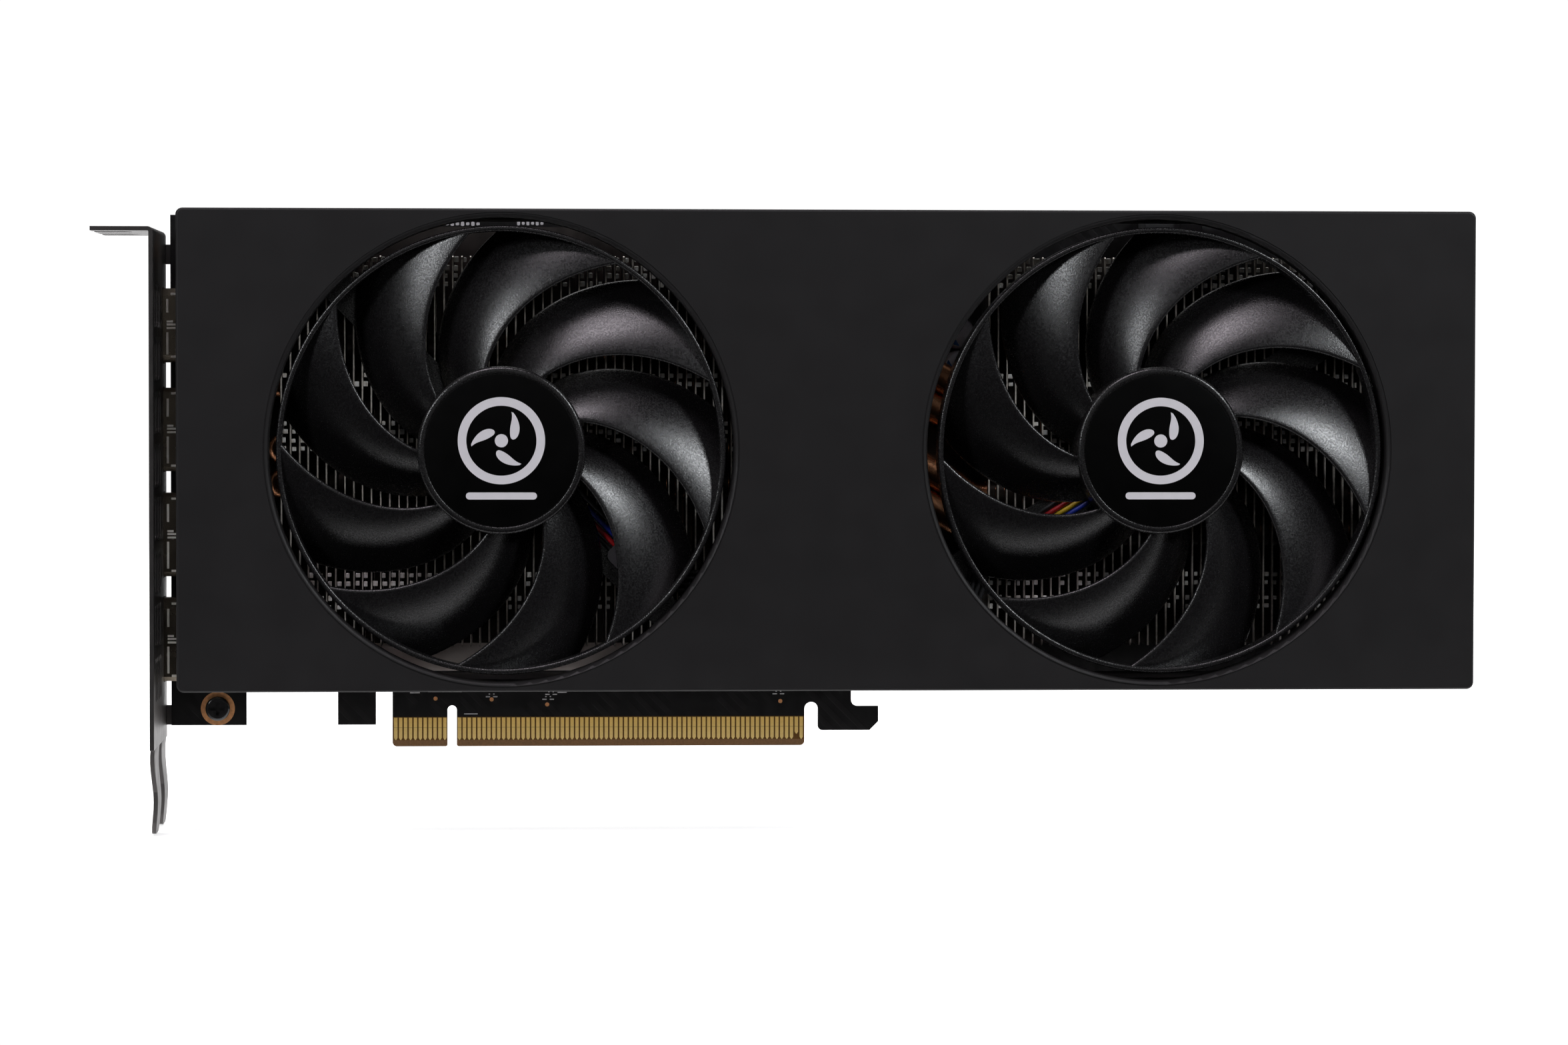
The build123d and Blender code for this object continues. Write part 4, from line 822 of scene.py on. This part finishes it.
# chip capacitors: a ceramic body between two soldered ends
CHIP_L, CHIP_W, CHIP_BODY_H, CHIP_END_H = 0.8, 0.4, 0.42, 0.46
chip_bodies, chip_ends = [], []
chip_places = [(-53.5, 30 + 9.0 * i, "z") for i in range(7)]
chip_places += [(99.0 + 2.2 * i, 50.5 - 3.1 * (i % 3), "x") for i in range(5)]
chip_places += [(101.0 + 2.6 * (i % 3), 36.5 - 2.4 * (i // 3), "z") for i in range(6)]
for x, z, along in chip_places:
    size_x, size_z = (CHIP_L, CHIP_W) if along == "x" else (CHIP_W, CHIP_L)
    half_x, half_z = size_x * 0.66, size_z * 0.66
    chip_bodies.append(box_data(x - half_x, x + half_x, 0.0, CHIP_BODY_H, z - half_z, z + half_z))
    end_x, end_z = (0.2, 0.36) if along == "x" else (0.36, 0.2)
    for sign in (-1, 1):
        at_x = x + sign * size_x * 0.82 if along == "x" else x
        at_z = z if along == "x" else z + sign * size_z * 0.82
        chip_ends.append(box_data(at_x - end_x, at_x + end_x, 0.0, CHIP_END_H, at_z - end_z, at_z + end_z))
dress(bevel(mesh_object("board.chip_bodies", *joined(chip_bodies)), 0.04), "card", "board_laminate",
      "ceramic")
dress(bevel(mesh_object("board.chip_ends", *joined(chip_ends)), 0.06), "card", "socket_steel", "solder")


# --- Pins on the tongues of the display sockets ---

# each socket's middle in Z, its width along Z and its depth in front of the board
SOCKETS = ((85.9, 15.0, 6.0), (64.85, 16.9, 5.6), (43.55, 16.9, 5.6), (22.3, 16.9, 5.6))
SOCKET_BACK_H = 0.25
PINS, PIN_PITCH, PIN_HALF_W = 10, 1.0, 0.15
# the pins' inner and outer faces, from the middle of the tongue
PIN_IN, PIN_OUT = 0.6, 0.76
pins = []
for z, _, deep in SOCKETS:
    middle_h = SOCKET_BACK_H + deep / 2
    for i in range(PINS):
        pin_z = z + (i - (PINS - 1) / 2) * PIN_PITCH
        for sign in (-1, 1):
            low, high = sorted((middle_h + sign * PIN_OUT, middle_h + sign * PIN_IN))
            pins.append(box_data(-57.1, -48.6, low, high, pin_z - PIN_HALF_W, pin_z + PIN_HALF_W))
dress(mesh_object("socket_tongues.pins", *joined(pins)), "card", "gold_contacts", "gold")


# --- Bright spring tabs and folded seams on the fronts of the socket shells ---

seams = []
for z, wide, deep in SOCKETS:
    front = SOCKET_BACK_H + deep - 0.02
    for sign in (-1, 1):
        edge = z + sign * (wide / 2 - 1.15)
        seams.append(box_data(-56.6, -53.2, front, front + 0.16, edge - 0.22, edge + 0.22))
    for step in (-0.55, 0.15, 0.75):
        seams.append(box_data(-57.4, -55.4 - step, front, front + 0.2, z + step - 0.2, z + step + 0.2))
    seams.append(box_data(-57.5, -57.05, front, front + 0.12, z - wide / 2 + 1.6, z - 1.4))
    seams.append(box_data(-57.5, -57.05, front, front + 0.12, z + 2.6, z + wide / 2 - 2.2))
    seams.append(box_data(-55.6, -54.9, front, front + 0.1, z - wide / 2 + 2.4, z - 3.0))
dress(bevel(mesh_object("display_sockets.seams", *joined(seams)), 0.07), "card", "socket_steel",
      "bright_steel")


# --- Springs under the four cooler screws ---

CHIP_X, CHIP_Z, SCREW_AWAY = 39.0, 62.0, 26.0
COIL_R, COIL_TOP_H, COIL_DROP, COIL_TURNS, COIL_STEPS, COIL_WIRE_R = 2.45, -3.2, 1.17, 3, 30, 0.2
coils = []
for x in (CHIP_X - SCREW_AWAY, CHIP_X + SCREW_AWAY):
    for z in (CHIP_Z - SCREW_AWAY, CHIP_Z + SCREW_AWAY):
        path = []
        for i in range(COIL_TURNS * COIL_STEPS + 1):
            turn = 2 * math.pi * i / COIL_STEPS
            h = COIL_TOP_H - COIL_DROP * i / (COIL_TURNS * COIL_STEPS)
            path.append(point(x + COIL_R * math.cos(turn), h, z + COIL_R * math.sin(turn)))
        coils.append(tube_data(path, [COIL_WIRE_R * MM] * len(path), 10))
dress(mesh_object("retention_springs.coils", *joined(coils)), "card", "spring_steel", "spring_steel",
      "retention_springs")

for name, width in (("mounting_bracket", 0.1), ("power_socket", 0.18), ("retention_cross", 0.12),
                    ("back_plate", 0.15)):
    soften(name, width)


# --- Studio, in metres: a white floor under and behind the card with a light of its own, a
# softbox above, smaller ones at both sides and a weak one in front. The camera sees a white
# room, and the card a dim one that is darkest on the camera's side. ---

def studio_floor():
    # it starts only a little in front of the card, so that it hardly lights the shroud from below
    near, top, under = -0.062, -0.0153, -0.02
    vertices = [(x, y, z) for z in (top, under) for x, y in rectangle(-1.6, 1.8, near, 1.6)]
    faces = [(0, 1, 2, 3), (7, 6, 5, 4), (0, 4, 5, 1), (1, 5, 6, 2), (2, 6, 7, 3), (3, 7, 4, 0)]
    floor = mesh_object("studio_floor", vertices, faces)
    paper = Surface("paper", (0.93, 0.93, 0.93), 0.85, specular=0.1)
    paper.clouds(60, 0.01).relief(1.5, 0.02, 0.2)
    paper.shader.inputs["Emission Color"].default_value = (1, 1, 1, 1)
    paper.shader.inputs["Emission Strength"].default_value = 0.6
    floor.data.materials.append(paper.material)


def softbox(name, place, aim, wide, tall, power, colour=(1, 1, 1)):
    light = bpy.data.lights.new(name, "AREA")
    light.shape = "RECTANGLE"
    light.size, light.size_y = wide, tall
    light.energy = power
    light.color = colour
    made = bpy.data.objects.new(name, light)
    made.location = place
    made.rotation_euler = (Vector(aim) - Vector(place)).to_track_quat("-Z", "Y").to_euler()
    bpy.context.scene.collection.objects.link(made)


studio_floor()
CENTRE = (0.075, 0.0, 0.06)
softbox("key", (-0.10, -0.50, 0.86), CENTRE, 0.42, 0.24, 2.8, (1.0, 0.91, 0.99))
softbox("right", (0.66, -0.62, 0.52), CENTRE, 0.16, 0.16, 3.6, (0.94, 0.97, 1.0))
softbox("left", (-0.58, -0.80, 0.42), CENTRE, 0.14, 0.18, 2.5, (0.95, 0.97, 1.0))
softbox("front", (0.1, -1.6, 0.35), CENTRE, 0.4, 0.4, 0.35)
softbox("floor_wash", (0.1, 0.75, 0.9), (0.1, 0.75, 0.0), 1.6, 0.8, 14.0)

world = bpy.data.worlds.new("studio")
bpy.context.scene.world = world
world.use_nodes = True
sky = world.node_tree
for node in list(sky.nodes):
    sky.nodes.remove(node)
direction = sky.nodes.new("ShaderNodeTexCoord")
split = sky.nodes.new("ShaderNodeSeparateXYZ")
sky.links.new(direction.outputs["Generated"], split.inputs["Vector"])
behind = sky.nodes.new("ShaderNodeMapRange")
behind.inputs["From Min"].default_value = -0.6
behind.inputs["From Max"].default_value = 0.5
behind.inputs["To Min"].default_value = 0.01
behind.inputs["To Max"].default_value = 0.22
sky.links.new(split.outputs["Y"], behind.inputs["Value"])
room = sky.nodes.new("ShaderNodeBackground")
sky.links.new(behind.outputs["Result"], room.inputs["Strength"])
backdrop = sky.nodes.new("ShaderNodeBackground")
backdrop.inputs["Strength"].default_value = 1.05
for shade in (room, backdrop):
    shade.inputs["Color"].default_value = (1, 1, 1, 1)
rays = sky.nodes.new("ShaderNodeLightPath")
choose = sky.nodes.new("ShaderNodeMixShader")
sky.links.new(rays.outputs["Is Camera Ray"], choose.inputs["Fac"])
sky.links.new(room.outputs["Background"], choose.inputs[1])
sky.links.new(backdrop.outputs["Background"], choose.inputs[2])
output = sky.nodes.new("ShaderNodeOutputWorld")
sky.links.new(choose.outputs["Shader"], output.inputs["Surface"])

bpy.context.scene.view_settings.view_transform = "Standard"


# --- Camera, where the photograph was taken from ---

CAMERA_PLACE = (0.00793, -0.99293, 0.07704)
YAW, PITCH, ROLL = (math.radians(a) for a in (3.457, 1.800, -0.0737))
lens = bpy.data.cameras.new("camera")
lens.lens = 111.44
lens.sensor_width = 36.0
lens.clip_start = 0.05
camera = bpy.data.objects.new("camera", lens)
camera.matrix_world = (Matrix.Translation(CAMERA_PLACE) @ Matrix.Rotation(-YAW, 4, "Z")
                       @ Matrix.Rotation(math.pi / 2 - PITCH, 4, "X") @ Matrix.Rotation(-ROLL, 4, "Z"))
bpy.context.scene.collection.objects.link(camera)
bpy.context.scene.camera = camera
